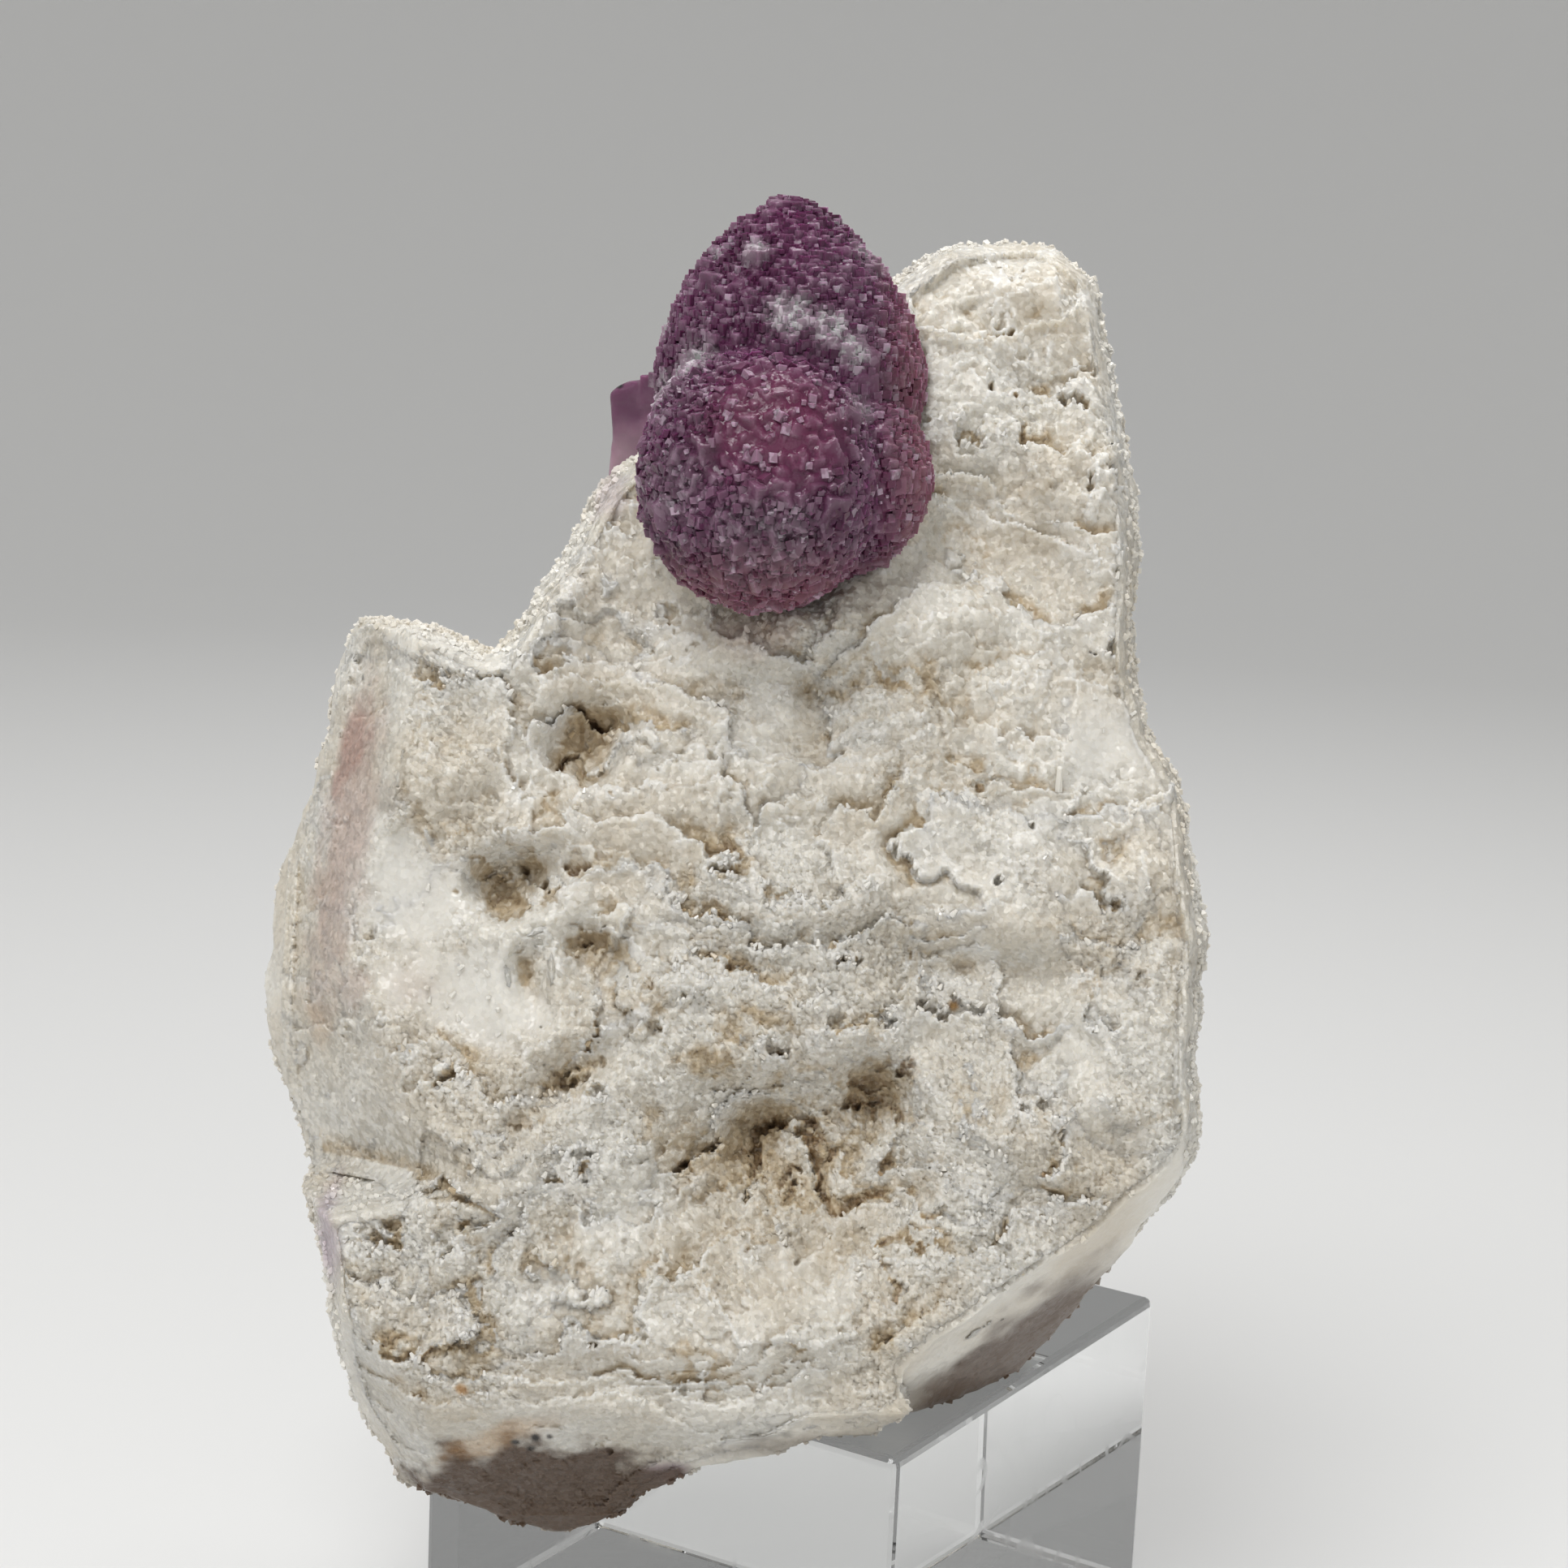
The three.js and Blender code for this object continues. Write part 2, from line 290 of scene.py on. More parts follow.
def quartzToneGroup():
    masks = {label: "Float" for label in quartzMasks}
    group, ins, outs = newGroup("Shader", "quartzTone", {"Place": "Vector", **masks}, {"Color": "Color"})
    patches = mapRange(group, noiseTexture(group, ins["Place"], 150, 3), 0.38, 0.66)
    body = mixColor(group, patches, (0.75, 0.72, 0.65, 1), (0.66, 0.605, 0.51, 1))
    layers = [
        # Rim: painted highlight along the free edge of each ledge, and the milky patches' own paler colour
        (ins["Rim"], (0.78, 0.755, 0.70, 1)),
        # Recess: tan and dark brown painted shade in the hollows and above each ledge lip, mixed with real
        # iron stain
        (mapRange(group, ins["Recess"], 0.0, 0.5), (0.51, 0.41, 0.275, 1)),
        (mapRange(group, ins["Recess"], 0.4, 1.0), (0.27, 0.18, 0.095, 1)),
        (ins["Stain"], (0.13, 0.07, 0.035, 1)),
        (ins["Blush"], (0.46, 0.30, 0.25, 1)),
        (ins["Lilac"], (0.40, 0.28, 0.40, 1)),
        # Earth: dark brown, painted shade on the down-facing facets at the bottom, and one small dark spot on
        # the flank
        (ins["Earth"], (0.085, 0.045, 0.022, 1)),
        (ins["Ochre"], (0.55, 0.30, 0.10, 1)),
        (ins["Speck"], (0.012, 0.01, 0.008, 1)),
    ]
    for share, color in layers:
        body = mixColor(group, share, body, color)
    group.links.new(body, outs["Color"])
    return group


def sugarGroup():  # tilted facets, one a grain, as a height in mm, and a tone for each grain
    inputs = {"Place": "Vector", "Grain": "Float", "Tilt": "Float"}
    group, ins, outs = newGroup("Shader", "sugarGrain", inputs, {"Height": "Float", "Tone": "Float"})
    place = vectorMath(group, "MULTIPLY", ins["Place"], (1 / mm, 1 / mm, 1 / mm))[0]
    size = mathNode(group, "DIVIDE", 1.0, ins["Grain"])
    cells = addNode(group, "ShaderNodeTexVoronoi", {"Vector": place, "Scale": size}).outputs
    away = vectorMath(group, "SUBTRACT", place, cells["Position"])[0]
    lean = vectorMath(group, "SUBTRACT", cells["Color"], (0.5, 0.5, 0.5))[0]
    facet = vectorMath(group, "DOT_PRODUCT", away, lean)["Value"]
    fine = product(group, noiseTexture(group, ins["Place"], 9000, 2), 0.03)
    group.links.new(mathNode(group, "ADD", product(group, facet, ins["Tilt"]), fine), outs["Height"])
    group.links.new(addNode(group, "ShaderNodeSeparateColor", {0: cells["Color"]}).outputs[1], outs["Tone"])
    return group


# Camera, floor and light

def placeCamera():
    view = {"place": (-2.41, -154.51, 75.91), "lens": 65.22, "sensor": 36}
    camera = bpy.data.objects.new("camera", bpy.data.cameras.new("camera"))
    camera.matrix_world = Matrix.Translation(Vector(view["place"]) * mm) @ specimenTurn.to_4x4()
    camera.data.lens = view["lens"]
    camera.data.sensor_width = view["sensor"]
    camera.data.clip_start = 0.01
    bpy.context.scene.collection.objects.link(camera)
    bpy.context.scene.camera = camera


def layFloor():
    floor = {"flat": 0.45, "bend": 0.35, "wall": 1.0, "color": (0.60, 0.60, 0.595, 1),
             "glow": 0.2}  # lights the clear block from below
    steps, sides = 12, 96
    bend = [math.pi / 2 * n / steps for n in range(steps + 1)]
    profile = [(floor["flat"] + floor["bend"] * math.sin(a), floor["bend"] * (1 - math.cos(a))) for a in bend]
    profile.append((profile[-1][0], floor["wall"]))
    angles = [2 * math.pi * n / sides for n in range(sides)]
    bm = bmesh.new()
    centre = bm.verts.new((0, 0, 0))
    rings = [[bm.verts.new((reach * math.cos(a), reach * math.sin(a), height)) for a in angles]
             for reach, height in profile]
    for n in range(sides):
        after = (n + 1) % sides
        bm.faces.new((centre, rings[0][n], rings[0][after]))
        for inner, outer in zip(rings, rings[1:]):
            bm.faces.new((inner[n], outer[n], outer[after], inner[after]))
    mesh = meshFrom(bm, "floor")
    mesh.shade_smooth()
    material, tree, shader, _ = newMaterial("paleFloor")
    setInputs(tree, shader, {"Base Color": floor["color"], "Roughness": 0.8,
                             "Emission Color": floor["color"], "Emission Strength": floor["glow"]})
    mesh.materials.append(material)
    newPiece("floor", mesh)


def lightStudio():
    lamps = {  # place, size and power
        "key": ((-0.11, -0.22, 0.38), 0.20, 1.25),
        "rim": ((0.04, 0.10, 0.42), 0.20, 0.8),
        "fill": ((0.20, -0.42, 0.10), 0.35, 0.36),
    }
    sky = {"Color": (1.0, 0.98, 0.94, 1), "Strength": 0.19}
    target = Vector((0, 0, 0.045))
    for name, (at, size, power) in lamps.items():
        data = bpy.data.lights.new(name, "AREA")
        data.size = size
        data.energy = power
        light = bpy.data.objects.new(name, data)
        light.location = at
        light.rotation_euler = (target - light.location).to_track_quat("-Z", "Y").to_euler()
        bpy.context.scene.collection.objects.link(light)
    world = bpy.data.worlds.new("studio")
    world.use_nodes = True
    setInputs(world.node_tree, world.node_tree.nodes["Background"], sky)
    bpy.context.scene.world = world
    bpy.context.scene.view_settings.view_transform = "Standard"


# Quartz matrix

matrixSizes = {
    "voxel": 0.22,
    "triangles": 150000,
    # Height and width, the same for the finer ones, and seed: of the rough walls and the smooth faces
    "lumps": (0.22, 1.3, 0.14, 0.6, 41),
    "swells": (0.16, 2.2, 0.05, 0.7, 43),
}

# The druse is a crust of ragged ledges over the face, worked out on a fine square grid
druseSizes = {
    "box": (-26.5, 23.5, -38.5, 31.5),
    "step": 0.11,
    "fan": (1.2, -29.0),  # the ledges arch over this point
    "fanReach": 17.0,
    # the hollow is sunk into the relief, and its brown is painted shade with some stain
    "hollow": ((1.2, -19.3), (8.5, 5.5)),  # brown hollow: middle, half width and half height
    "sink": 0.8,  # how far the foot of the ledges lies below the solid's face
    "overhang": 0.25,  # how far a ledge leans up as it rises
    "grain": 0.30,
    "grainRise": 0.12,
    "grainTilt": 0.5,
    "thickness": 0.6,
    "borderDip": 0.45,  # how far its border goes into the solid
    "pieces": 4,
    "triangles": 165000,  # a piece
}

# Ledges: pitch up the face, rise of the free edge, how far the edge wanders at each of the wander
# sizes, and how brown the hollow above an edge is, as painted shade with some stain. The higher of
# the first two shows, and carries the finer ones
wanderSizes = (6.0, 2.8, 1.3, 0.62, 0.33)
ledges = [dict(zip(("pitch", "rise", "wander", "shade", "seed"), row)) for row in (
    (4.6, 1.05, (5.4, 3.2, 1.4, 0.6, 0.32), 0.7, 30),
    (6.2, 1.1, (6.4, 3.6, 1.5, 0.65, 0.32), 0.7, 60),
    (2.1, 0.3, (1.7, 1.8, 1.0, 0.5, 0.27), 0.2, 40),
    (1.0, 0.11, (0.0, 0.7, 0.6, 0.38, 0.2), 0.07, 50),
)]

# Deep ragged pits: middle, half width and half height, turn in degrees, depth, stain
pits = [
    ((-10.3, 2.0), (1.0, 1.5), -25, 1.4, 0.6),
    ((-14.4, -5.2), (1.7, 1.2), 0, 1.8, 0.5),
    ((-13.2, -9.6), (0.5, 1.8), 5, 1.6, 0.8),
    ((-10.2, -8.6), (1.1, 0.8), -30, 1.7, 1.0),
    ((-12.2, -3.9), (1.3, 0.4), -8, 1.2, 0.8),
    ((-0.2, -19.6), (0.7, 0.5), 0, 1.2, 0.9),
    ((4.7, -15.4), (1.3, 1.2), 20, 1.4, 1.0),
    ((0.6, -17.2), (3.2, 0.6), 6, 0.9, 0.4),
    ((-3.0, -18.4), (1.6, 0.6), 30, 1.0, 0.6),
    ((8.6, -8.8), (0.6, 0.5), 0, 0.9, 0.9),
    ((-10.6, -14.8), (3.0, 0.4), 35, 0.8, 0.3),
]

# Where the quartz takes a colour: middle, half width and half height, turn, strength, and for some
# the share of their reach that is full
tints = {
    "blush": [
        ((-22.5, 1.8), (1.3, 4.0), -15, 0.9),
        ((-22.8, -3.0), (2.1, 10.0), -8, 0.55),
        ((-22.0, -10.2), (1.1, 1.6), 0, 0.35),
        ((-18.8, -10.2), (1.6, 1.2), 0, 0.14),
        ((-1.1, 7.9), (2.4, 1.6), 0, 0.35),
    ],
    "lilac": [
        ((-23.2, -22.9), (0.9, 2.8), 10, 0.5),
        ((-6.2, -35.4), (1.5, 0.9), 10, 0.6),
        ((-9.0, 15.0), (1.2, 1.6), 0, 0.3),
    ],
    # dark brown: painted shade on the down-facing facets low on the slab, and one small dark spot on the
    # flank
    "earth": [
        ((-19.7, -0.6), (1.2, 1.1), 0, 0.35),
        ((-12.4, -36.6), (8.0, 3.4), 0, 0.95, 0.75),
        ((12.2, -30.2), (9.5, 3.2), 35, 0.95, 0.45),
        ((2.0, -33.6), (7.5, 0.9), 4, 0.45),
    ],
    "ochre": [
        ((-14.6, -33.1), (4.0, 0.9), 24, 0.4),
        ((-16.1, -30.2), (0.4, 0.35), 0, 0.8),
        ((8.6, -11.1), (0.3, 0.3), 0, 0.9),
        ((-24.2, -12.5), (1.0, 1.6), 0, 0.2),
    ],
    "speck": [
        ((-13.6, -33.4), (0.3, 0.22), 0, 1.0),
        ((-12.6, -33.1), (0.26, 0.3), 0, 1.0),
        ((-12.9, -33.8), (0.34, 0.2), 20, 0.9),
        ((-11.9, -33.0), (0.2, 0.24), 0, 0.9),
        ((0.1, -32.7), (0.5, 0.12), 0, 0.7),
        ((2.8, -32.9), (0.3, 0.12), 0, 0.7),
        ((-22.0, 5.7), (0.12, 0.22), 0, 0.8),
        ((-21.5, 5.3), (0.1, 0.14), 0, 0.8),
    ],
}

# Faces of the solid: a point, the way it faces and how smooth it is. On the waxy ones the crust goes
# on, flattened, and the broken ones are bare
waxyFaces = {
    "upperFlank": ((-22.2, -7.5, 8.4), (-0.85, 0.16, 0.51), 0.6),
    "lowerFlank": ((-19.8, -14, 9), (-0.71, -0.31, 0.63), 0.5),
    "lowerLeft": ((-12.5, -36.6, 4.6), (0, -0.74, 0.67), 0.7),
    "lowerLeftEnd": ((-21.4, -34.4, 3.0), (-0.7, -0.5, 0.5), 0.5),
}
brokenFaces = {
    "lowerRight": ((12.1, -31.9, 0), (0.52, -0.69, 0.5), 0.9),
    "back": ((-4, 2, -11.2), (-0.16, 0.2, -0.97), 1),
    "backRight": ((15, -6, -8.6), (0.5, 0.08, -0.86), 1),
    "backLeft": ((-19, -12, -8.8), (-0.52, -0.06, -0.85), 0.8),
    "backTop": ((8, 22, -6.2), (-0.05, 0.42, -0.91), 1),
}

# Shallow chips, each cut by a ball: its middle and radius, then the part that stayed clean as middle,
# half width and half height
chips = [
    ((1.5, -46.2, 3), 12.8, (1.5, -34), (9, 4)),
    ((-6, -16, -30.5), 20, (-6, -16), (20, 20)),
    ((9, 8, -27), 18, (9, 8), (20, 20)),
]

# Smooth milky patches of the crust: middle, half width and half height, turn
milkyPatches = [
    ((-18.9, -5.3), (3.3, 2.9), 0),
    ((-16.2, -10.6), (5.0, 2.7), -22),
    ((16.7, 2.2), (3.1, 2.3), -25),
]


def spotReach(x, y, at, size, turn=0):  # 1 on the border of the turned ellipse
    c, s = math.cos(math.radians(turn)), math.sin(math.radians(turn))
    dx, dy = x - at[0], y - at[1]
    return np.hypot((dx * c + dy * s) / size[0], (dy * c - dx * s) / size[1])


class FaceRaster:  # fields over the druzy face, on a square grid
    def __init__(self, box, step):
        self.x0, self.x1, self.y0, self.y1 = box
        self.step = step
        self.x, self.y = np.meshgrid(np.arange(self.x0, self.x1, step), np.arange(self.y0, self.y1, step))
        self.shape = self.x.shape
        self.warp = np.stack([1.1 * self.noise(2.4, seed) + 0.5 * self.noise(0.9, seed + 1)
                              for seed in (21, 23)])

    def noise(self, size, seed, stretch=1.0, warped=False):
        x, y = (self.x + self.warp[0], self.y + self.warp[1]) if warped else (self.x, self.y)
        flat = np.stack([x.ravel() / stretch, y.ravel()], 1)
        return noiseAt(flat, size, seed).reshape(self.shape)

    def sample(self, field, x, y):
        u = np.clip((x - self.x0) / self.step, 0, self.shape[1] - 1.001)
        v = np.clip((y - self.y0) / self.step, 0, self.shape[0] - 1.001)
        j, i = u.astype(int), v.astype(int)
        a, b = u - j, v - i
        low = field[i, j] * (1 - a) + field[i, j + 1] * a
        high = field[i + 1, j] * (1 - a) + field[i + 1, j + 1] * a
        return low * (1 - b) + high * b

    def points(self, height):
        return np.stack([self.x.ravel(), self.y.ravel(), height.ravel()], 1)


def grainCells(raster, size, seed):  # the nearest of the jittered grain centres, and how far its border is
    u, v = raster.x.ravel() / size, raster.y.ravel() / size
    own = np.stack([np.floor(u), np.floor(v)], 1).astype(np.int64)
    best, second = np.full(len(u), 9.0), np.full(len(u), 9.0)
    centre, cell = np.zeros((len(u), 2)), np.zeros((len(u), 2), np.int64)
    for shift in np.ndindex(3, 3):
        near = own + np.array(shift) - 1
        at = near + 0.5 + 0.42 * np.stack([latticeValue(near, seed), latticeValue(near, seed + 1)], 1)
        away = np.hypot(u - at[:, 0], v - at[:, 1])
        closer = away < best
        second = np.where(closer, best, np.minimum(second, away))
        best = np.where(closer, away, best)
        centre[closer], cell[closer] = at[closer], near[closer]
    tilt = [latticeValue(cell, seed + n).reshape(raster.shape) for n in (2, 3)]
    x, y = (centre[:, n].reshape(raster.shape) * size for n in (0, 1))
    return x, y, tilt, ((second - best) * size).reshape(raster.shape)


def lowest(field, reach):
    for axis in (0, 1):
        field = np.min([np.roll(field, n, axis) for n in range(-reach, reach + 1)], axis=0)
    return field


def layLedges(raster):
    fan = druseSizes["fan"]
    across, up = raster.x - fan[0], raster.y - fan[1]
    share = np.exp(-(np.hypot(across, up) / druseSizes["fanReach"]) ** 2) * ramp(up, -3, 1)
    height = raster.y + share * (np.hypot(across, np.maximum(up, 0)) - np.maximum(up, 0))
    layers = []
    for ledge in ledges:
        wander = 0
        for n, (size, amount) in enumerate(zip(wanderSizes, ledge["wander"])):
            field = raster.noise(size, ledge["seed"] + n, 1.5 if n < 2 else 1.0, warped=n < 3)
            wander += amount * (field if n < 3 else 1.4 * np.abs(field) - 0.35)  # the fine ones in points
        phase = (height + wander) / ledge["pitch"]
        part = phase % 1
        strength = np.clip(0.65 + 0.7 * raster.noise(4.0, ledge["seed"] + 7), 0.12, 1.2)
        # brown: how strong the painted shade, with some stain, is in the hollow above each edge
        brown = np.clip(0.6 + 1.1 * raster.noise(3.2, ledge["seed"] + 8), 0.1, 1.3)
        shade = ledge["shade"] * brown * (1 - ramp(part, 0, 0.55))
        layers.append((ledge["rise"] * strength * part ** 0.75, shade, 1 - part, np.floor(phase)))
    over = layers[1][0] > layers[0][0]
    relief, shade, low = (np.where(over, layers[1][n], layers[0][n]) for n in (0, 1, 2))
    relief += layers[2][0] + layers[3][0]
    shade = 1 - (1 - shade) * (1 - layers[2][1]) * (1 - layers[3][1])
    low = 0.7 * low + 0.3 * layers[2][2]
    level = np.where(over, 2 * layers[1][3] + 1, 2 * layers[0][3])
    return relief, shade, low, (level - level.min()).astype(int)


def cutPits(raster):
    depth, stain = np.zeros(raster.shape), np.zeros(raster.shape)
    ragged = 1.8 * raster.noise(1.3, 92) + 1.3 * np.abs(raster.noise(0.62, 93))
    ragged = ragged + 0.8 * np.abs(raster.noise(0.33, 94)) - 0.65
    for at, size, turn, deep, stained in pits:
        reach = spotReach(raster.x, raster.y, at, size, turn) + ragged / (0.6 + size[1])
        depth = np.minimum(depth, -0.6 * deep * (1 - ramp(reach, 0.85, 1.15)))
        stain = np.maximum(stain, stained * (1 - ramp(reach, 0.7, 1.5)))
    return depth, stain


def faceShare(faces, points, normals):
    smooth = np.zeros(len(points))
    reach = 0.3 + 0.3 * noiseAt(points, 2.5, 31) + 0.25 * noiseAt(points, 0.8, 32)
    for at, facing, full in faces.values():
        out = np.array(facing) / np.linalg.norm(facing)
        offset = np.abs((points - at) @ out)
        aligned = ramp(normals @ out, 0.75, 0.92)
        smooth = np.maximum(smooth, full * aligned * (1 - ramp(offset, reach, reach + 0.3)))
    return smooth


def chipShare(points, normals):
    smooth = np.zeros(len(points))
    ragged = 0.35 * noiseAt(points, 2.5, 31) + 0.2 * noiseAt(points, 0.8, 32)
    for middle, radius, at, size in chips:
        away = points - middle
        distance = np.linalg.norm(away, axis=1)
        aligned = ramp(-np.sum(away * normals, axis=1) / distance, 0.75, 0.92)
        clean = spotReach(points[:, 0], points[:, 1], at, size) + ragged
        near = 1 - ramp(np.abs(distance - radius), 0.3, 0.9)
        smooth = np.maximum(smooth, aligned * near * (1 - ramp(clean, 0.6, 1.2)))
    return smooth


def tintShare(points, kind):
    share = np.zeros(len(points))
    wander = noiseAt(points, 1.4, 51), noiseAt(points, 1.4, 52), noiseAt(points, 0.5, 53)
    for at, size, turn, strength, *soft in tints[kind]:
        loose = 0.35 * min(size)
        reach = spotReach(points[:, 0] + loose * wander[0], points[:, 1] + loose * wander[1], at, size, turn)
        full = soft[0] if soft else 0.35
        share = np.maximum(share, strength * (1 - ramp(reach + 0.12 * wander[2], full, 1.2)))
    return share * ramp(points[:, 2], -7, -3)


def castFace(piece, raster):  # height of the solid's face on the grid, and where there is one
    ground = BVHTree.FromObject(piece, bpy.context.evaluated_depsgraph_get())
    x, y = raster.x[::2, ::2], raster.y[::2, ::2]
    down = Vector((0, 0, -1))
    hits = [ground.ray_cast(Vector((a, b, 40)), down)[0] for a, b in zip(x.ravel(), y.ravel())]
    height = np.array([hit.z if hit else 0 for hit in hits]).reshape(x.shape)
    there = np.array([hit is not None for hit in hits], float).reshape(x.shape)
    spread = blurred(there, 2)
    height = np.where(there > 0, blurred(height * there, 2) / np.maximum(spread, 0.01), 0)
    rows, columns = raster.shape
    double = [np.repeat(np.repeat(field, 2, 0), 2, 1)[:rows, :columns] for field in (height, there, spread)]
    return blurred(double[0], 1), double[1] * (double[2] > 0.8)


class Druse:  # everything that is worked out on the grid, once
    def __init__(self, solid):
        self.raster = raster = FaceRaster(druseSizes["box"], druseSizes["step"])
        self.ground, there = castFace(solid, raster)
        slopeY, slopeX = np.gradient(blurred(self.ground, 3), raster.step)
        steep = ramp(np.hypot(slopeX, slopeY), 2.2, 3.6)
        normals = unit(np.stack([-slopeX.ravel(), -slopeY.ravel(), np.ones(slopeX.size)], 1))
        points = raster.points(self.ground)
        self.share = (1 - faceShare(brokenFaces, points, normals).reshape(raster.shape)) * (1 - steep) * there
        self.border = 1 - ramp(lowest(self.share, 6), 0.5, 0.9)
        milky = self.milkyShare()
        waxen = blurred(faceShare(waxyFaces, points, normals).reshape(raster.shape), 3)
        calm = np.maximum(milky, np.maximum(waxen, chipShare(points, normals).reshape(raster.shape)))
        relief, shade, low, self.level = layLedges(raster)
        depth, stain = cutPits(raster)
        hollow = spotReach(raster.x, raster.y, *druseSizes["hollow"]) + 0.25 * raster.noise(2.8, 95)
        hollow = 1 - ramp(hollow, 0.3, 1.15)
        gap = ramp(low, 0.35, 0.8)
        relief += (depth - 0.65 * hollow) * (0.4 + 0.6 * gap) + 0.6 * raster.noise(7.0, 96)
        level = 0.6 + 0.15 * raster.noise(1.6, 100) + 0.25 * (1 - milky) * raster.noise(3.0, 102)
        relief += 0.85 * calm * (level - relief)  # calm places lie nearly flat
        relief += self.border * (np.maximum(relief, druseSizes["sink"] + 0.12) - relief)
        shade, gap = shade * (1 - calm), gap * (1 - calm)
        x, y, tilt, border = grainCells(raster, druseSizes["grain"], 97)
        self.waxy = np.maximum(ramp(raster.noise(9.0, 98) + 0.4 * raster.noise(2.5, 99), 0.0, 0.6), calm)
        self.smooth = np.maximum(0.35 * self.waxy, np.maximum(0.7 * milky, 0.6 * calm))
        quantized = raster.sample(relief, x, y)
        facet = druseSizes["grainRise"] * np.minimum(border / (0.5 * druseSizes["grain"]), 1)
        facet += druseSizes["grainTilt"] * (tilt[0] * (raster.x - x) + tilt[1] * (raster.y - y))
        self.foot = blurred(lowest(relief, 5), 2)
        self.relief = relief + (1 - 0.7 * self.waxy) * (quantized - relief + facet)
        # dip: painted shade with some stain in the solid's own pits
        dip = ramp(blurred(self.ground, 12) - self.ground, 0.15, 1.0)  # the solid's own pits
        deep = 0.35 * hollow * (0.4 + 0.6 * gap) - 0.6 * depth * (0.5 + 0.5 * gap)
        deep = deep + 0.3 * dip * (1 - self.border)
        grainTone = 0.14 * (tilt[0] + tilt[1])
        # recess mask: painted shade of the ledge hollows, pits and dips, mixed with their iron stain
        recess = np.clip(shade * (1 - 0.35 * self.waxy) + deep + grainTone * (shade + deep), 0, 1)
        self.recess = recess * (1 - 0.6 * self.border)
        self.stain = stain * gap
        # rim: painted highlight on the ledge lips, weaker in the hollow and on calm places, plus the milky
        # patches' own paler colour
        self.rim = np.maximum(ramp(1 - low, 0.6, 0.95) * (1 - 0.4 * hollow) * (1 - calm), 0.6 * milky)

    def milkyShare(self):
        raster, share = self.raster, np.zeros(self.raster.shape)
        ragged = 0.3 * raster.noise(2.5, 111) + 0.2 * raster.noise(0.9, 112) + 0.12 * raster.noise(0.4, 113)
        for at, size, turn in milkyPatches:
            reach = spotReach(raster.x, raster.y, at, size, turn) + ragged
            share = np.maximum(share, 1 - ramp(reach, 0.5, 1.2))
        return share


def makeMatrix():
    piece = nodeCopy("matrix", "quartz_matrix")
    modified(piece, "REMESH", mode="VOXEL", voxel_size=matrixSizes["voxel"])
    druse = Druse(piece)
    print("ledges laid out on the grid:", druse.raster.shape)
    mesh = piece.data
    points = meshPoints(mesh)
    broad = unit(neighbourMean(mesh, meshNormals(mesh), 4))
    smooth = np.maximum(faceShare(brokenFaces, points, broad), chipShare(points, broad))
    smooth = np.maximum(smooth, faceShare(waxyFaces, points, broad))
    facing = ramp(broad[:, 2], 0.1, 0.5)
    x, y = points[:, 0], points[:, 1]
    sunk = ramp(lowest(druse.share, 6), 0.55, 0.9) * (druse.foot - druseSizes["sink"] - 0.2)
    raised = facing * druse.raster.sample(sunk, x, y)
    moved = points.copy()
    moved[:, 2] += raised
    moved[:, 1] += druseSizes["overhang"] * raised
    bare = 1 - facing * ramp(druse.raster.sample(druse.share, x, y), 0.25, 0.6)
    wall = (1 - smooth) * bare
    lumps, soft = (rise * noiseAt(points, size, seed) + fineRise * noiseAt(points, fine, seed + 1)
                   for rise, size, fineRise, fine, seed in (matrixSizes["lumps"], matrixSizes["swells"]))
    moved += broad * (wall * lumps + smooth * soft)[:, None]
    setPoints(mesh, moved)
    # Painted shade: concave places of the bare walls are darkened through the recess mask too
    wallDip = np.sum((neighbourMean(mesh, moved, 8) - moved) * broad, axis=1)
    recess = facing * druse.raster.sample(druse.recess, x, y)
    recess = np.maximum(recess, bare * (1 - 0.85 * facing) * ramp(wallDip, 0.05, 0.5))
    stain = druse.raster.sample(druse.stain, x, y) * facing
    masks = {kind: tintShare(moved, kind) for kind in tints}
    masks.update(recess=recess * (1 - smooth), stain=stain, smooth=smooth, bare=bare)
    for name, values in masks.items():
        storeValue(mesh, name, values)
    modified(piece, "DECIMATE", ratio=matrixSizes["triangles"] / (2 * len(mesh.polygons)))
    print("matrix:", len(piece.data.polygons), "faces")
    return piece, druse


def crustMesh(name, cells, points, thickness, values):
    for _ in range(3):  # no two cells may meet at one corner only
        block = cells[:-1, :-1], cells[:-1, 1:], cells[1:, :-1], cells[1:, 1:]
        falling, rising = block[0] & block[3], block[1] & block[2]
        crossed = (falling & ~block[1] & ~block[2]) | (rising & ~block[0] & ~block[3])
        cells[1:, 1:] &= ~crossed
        cells[1:, :-1] &= ~crossed
    used = np.zeros(points.shape[:2], bool)
    for rows, columns in np.ndindex(2, 2):
        used[rows:rows + cells.shape[0], columns:columns + cells.shape[1]] |= cells
    number = np.full(used.shape, -1)
    number[used] = np.arange(used.sum())
    i, j = np.nonzero(cells)
    a, b, c, d = number[i, j], number[i, j + 1], number[i + 1, j + 1], number[i + 1, j]
    count = used.sum()
    quads = [np.stack([a, b, c, d], 1), np.stack([a, d, c, b], 1) + count]
    padded = np.pad(cells, 1)
    for di, dj, p, q in ((-1, 0, a, b), (0, 1, b, c), (1, 0, c, d), (0, -1, d, a)):
        bare = ~padded[i + 1 + di, j + 1 + dj]
        quads.append(np.stack([q[bare], p[bare], p[bare] + count, q[bare] + count], 1))
    top = points[used]
    mesh = quadMesh(name, np.concatenate([top, thickness[used]]), np.concatenate(quads))
    for key, field in values.items():
        storeValue(mesh, key, np.concatenate([field[used], (key != "growth") * field[used]]))
    return mesh


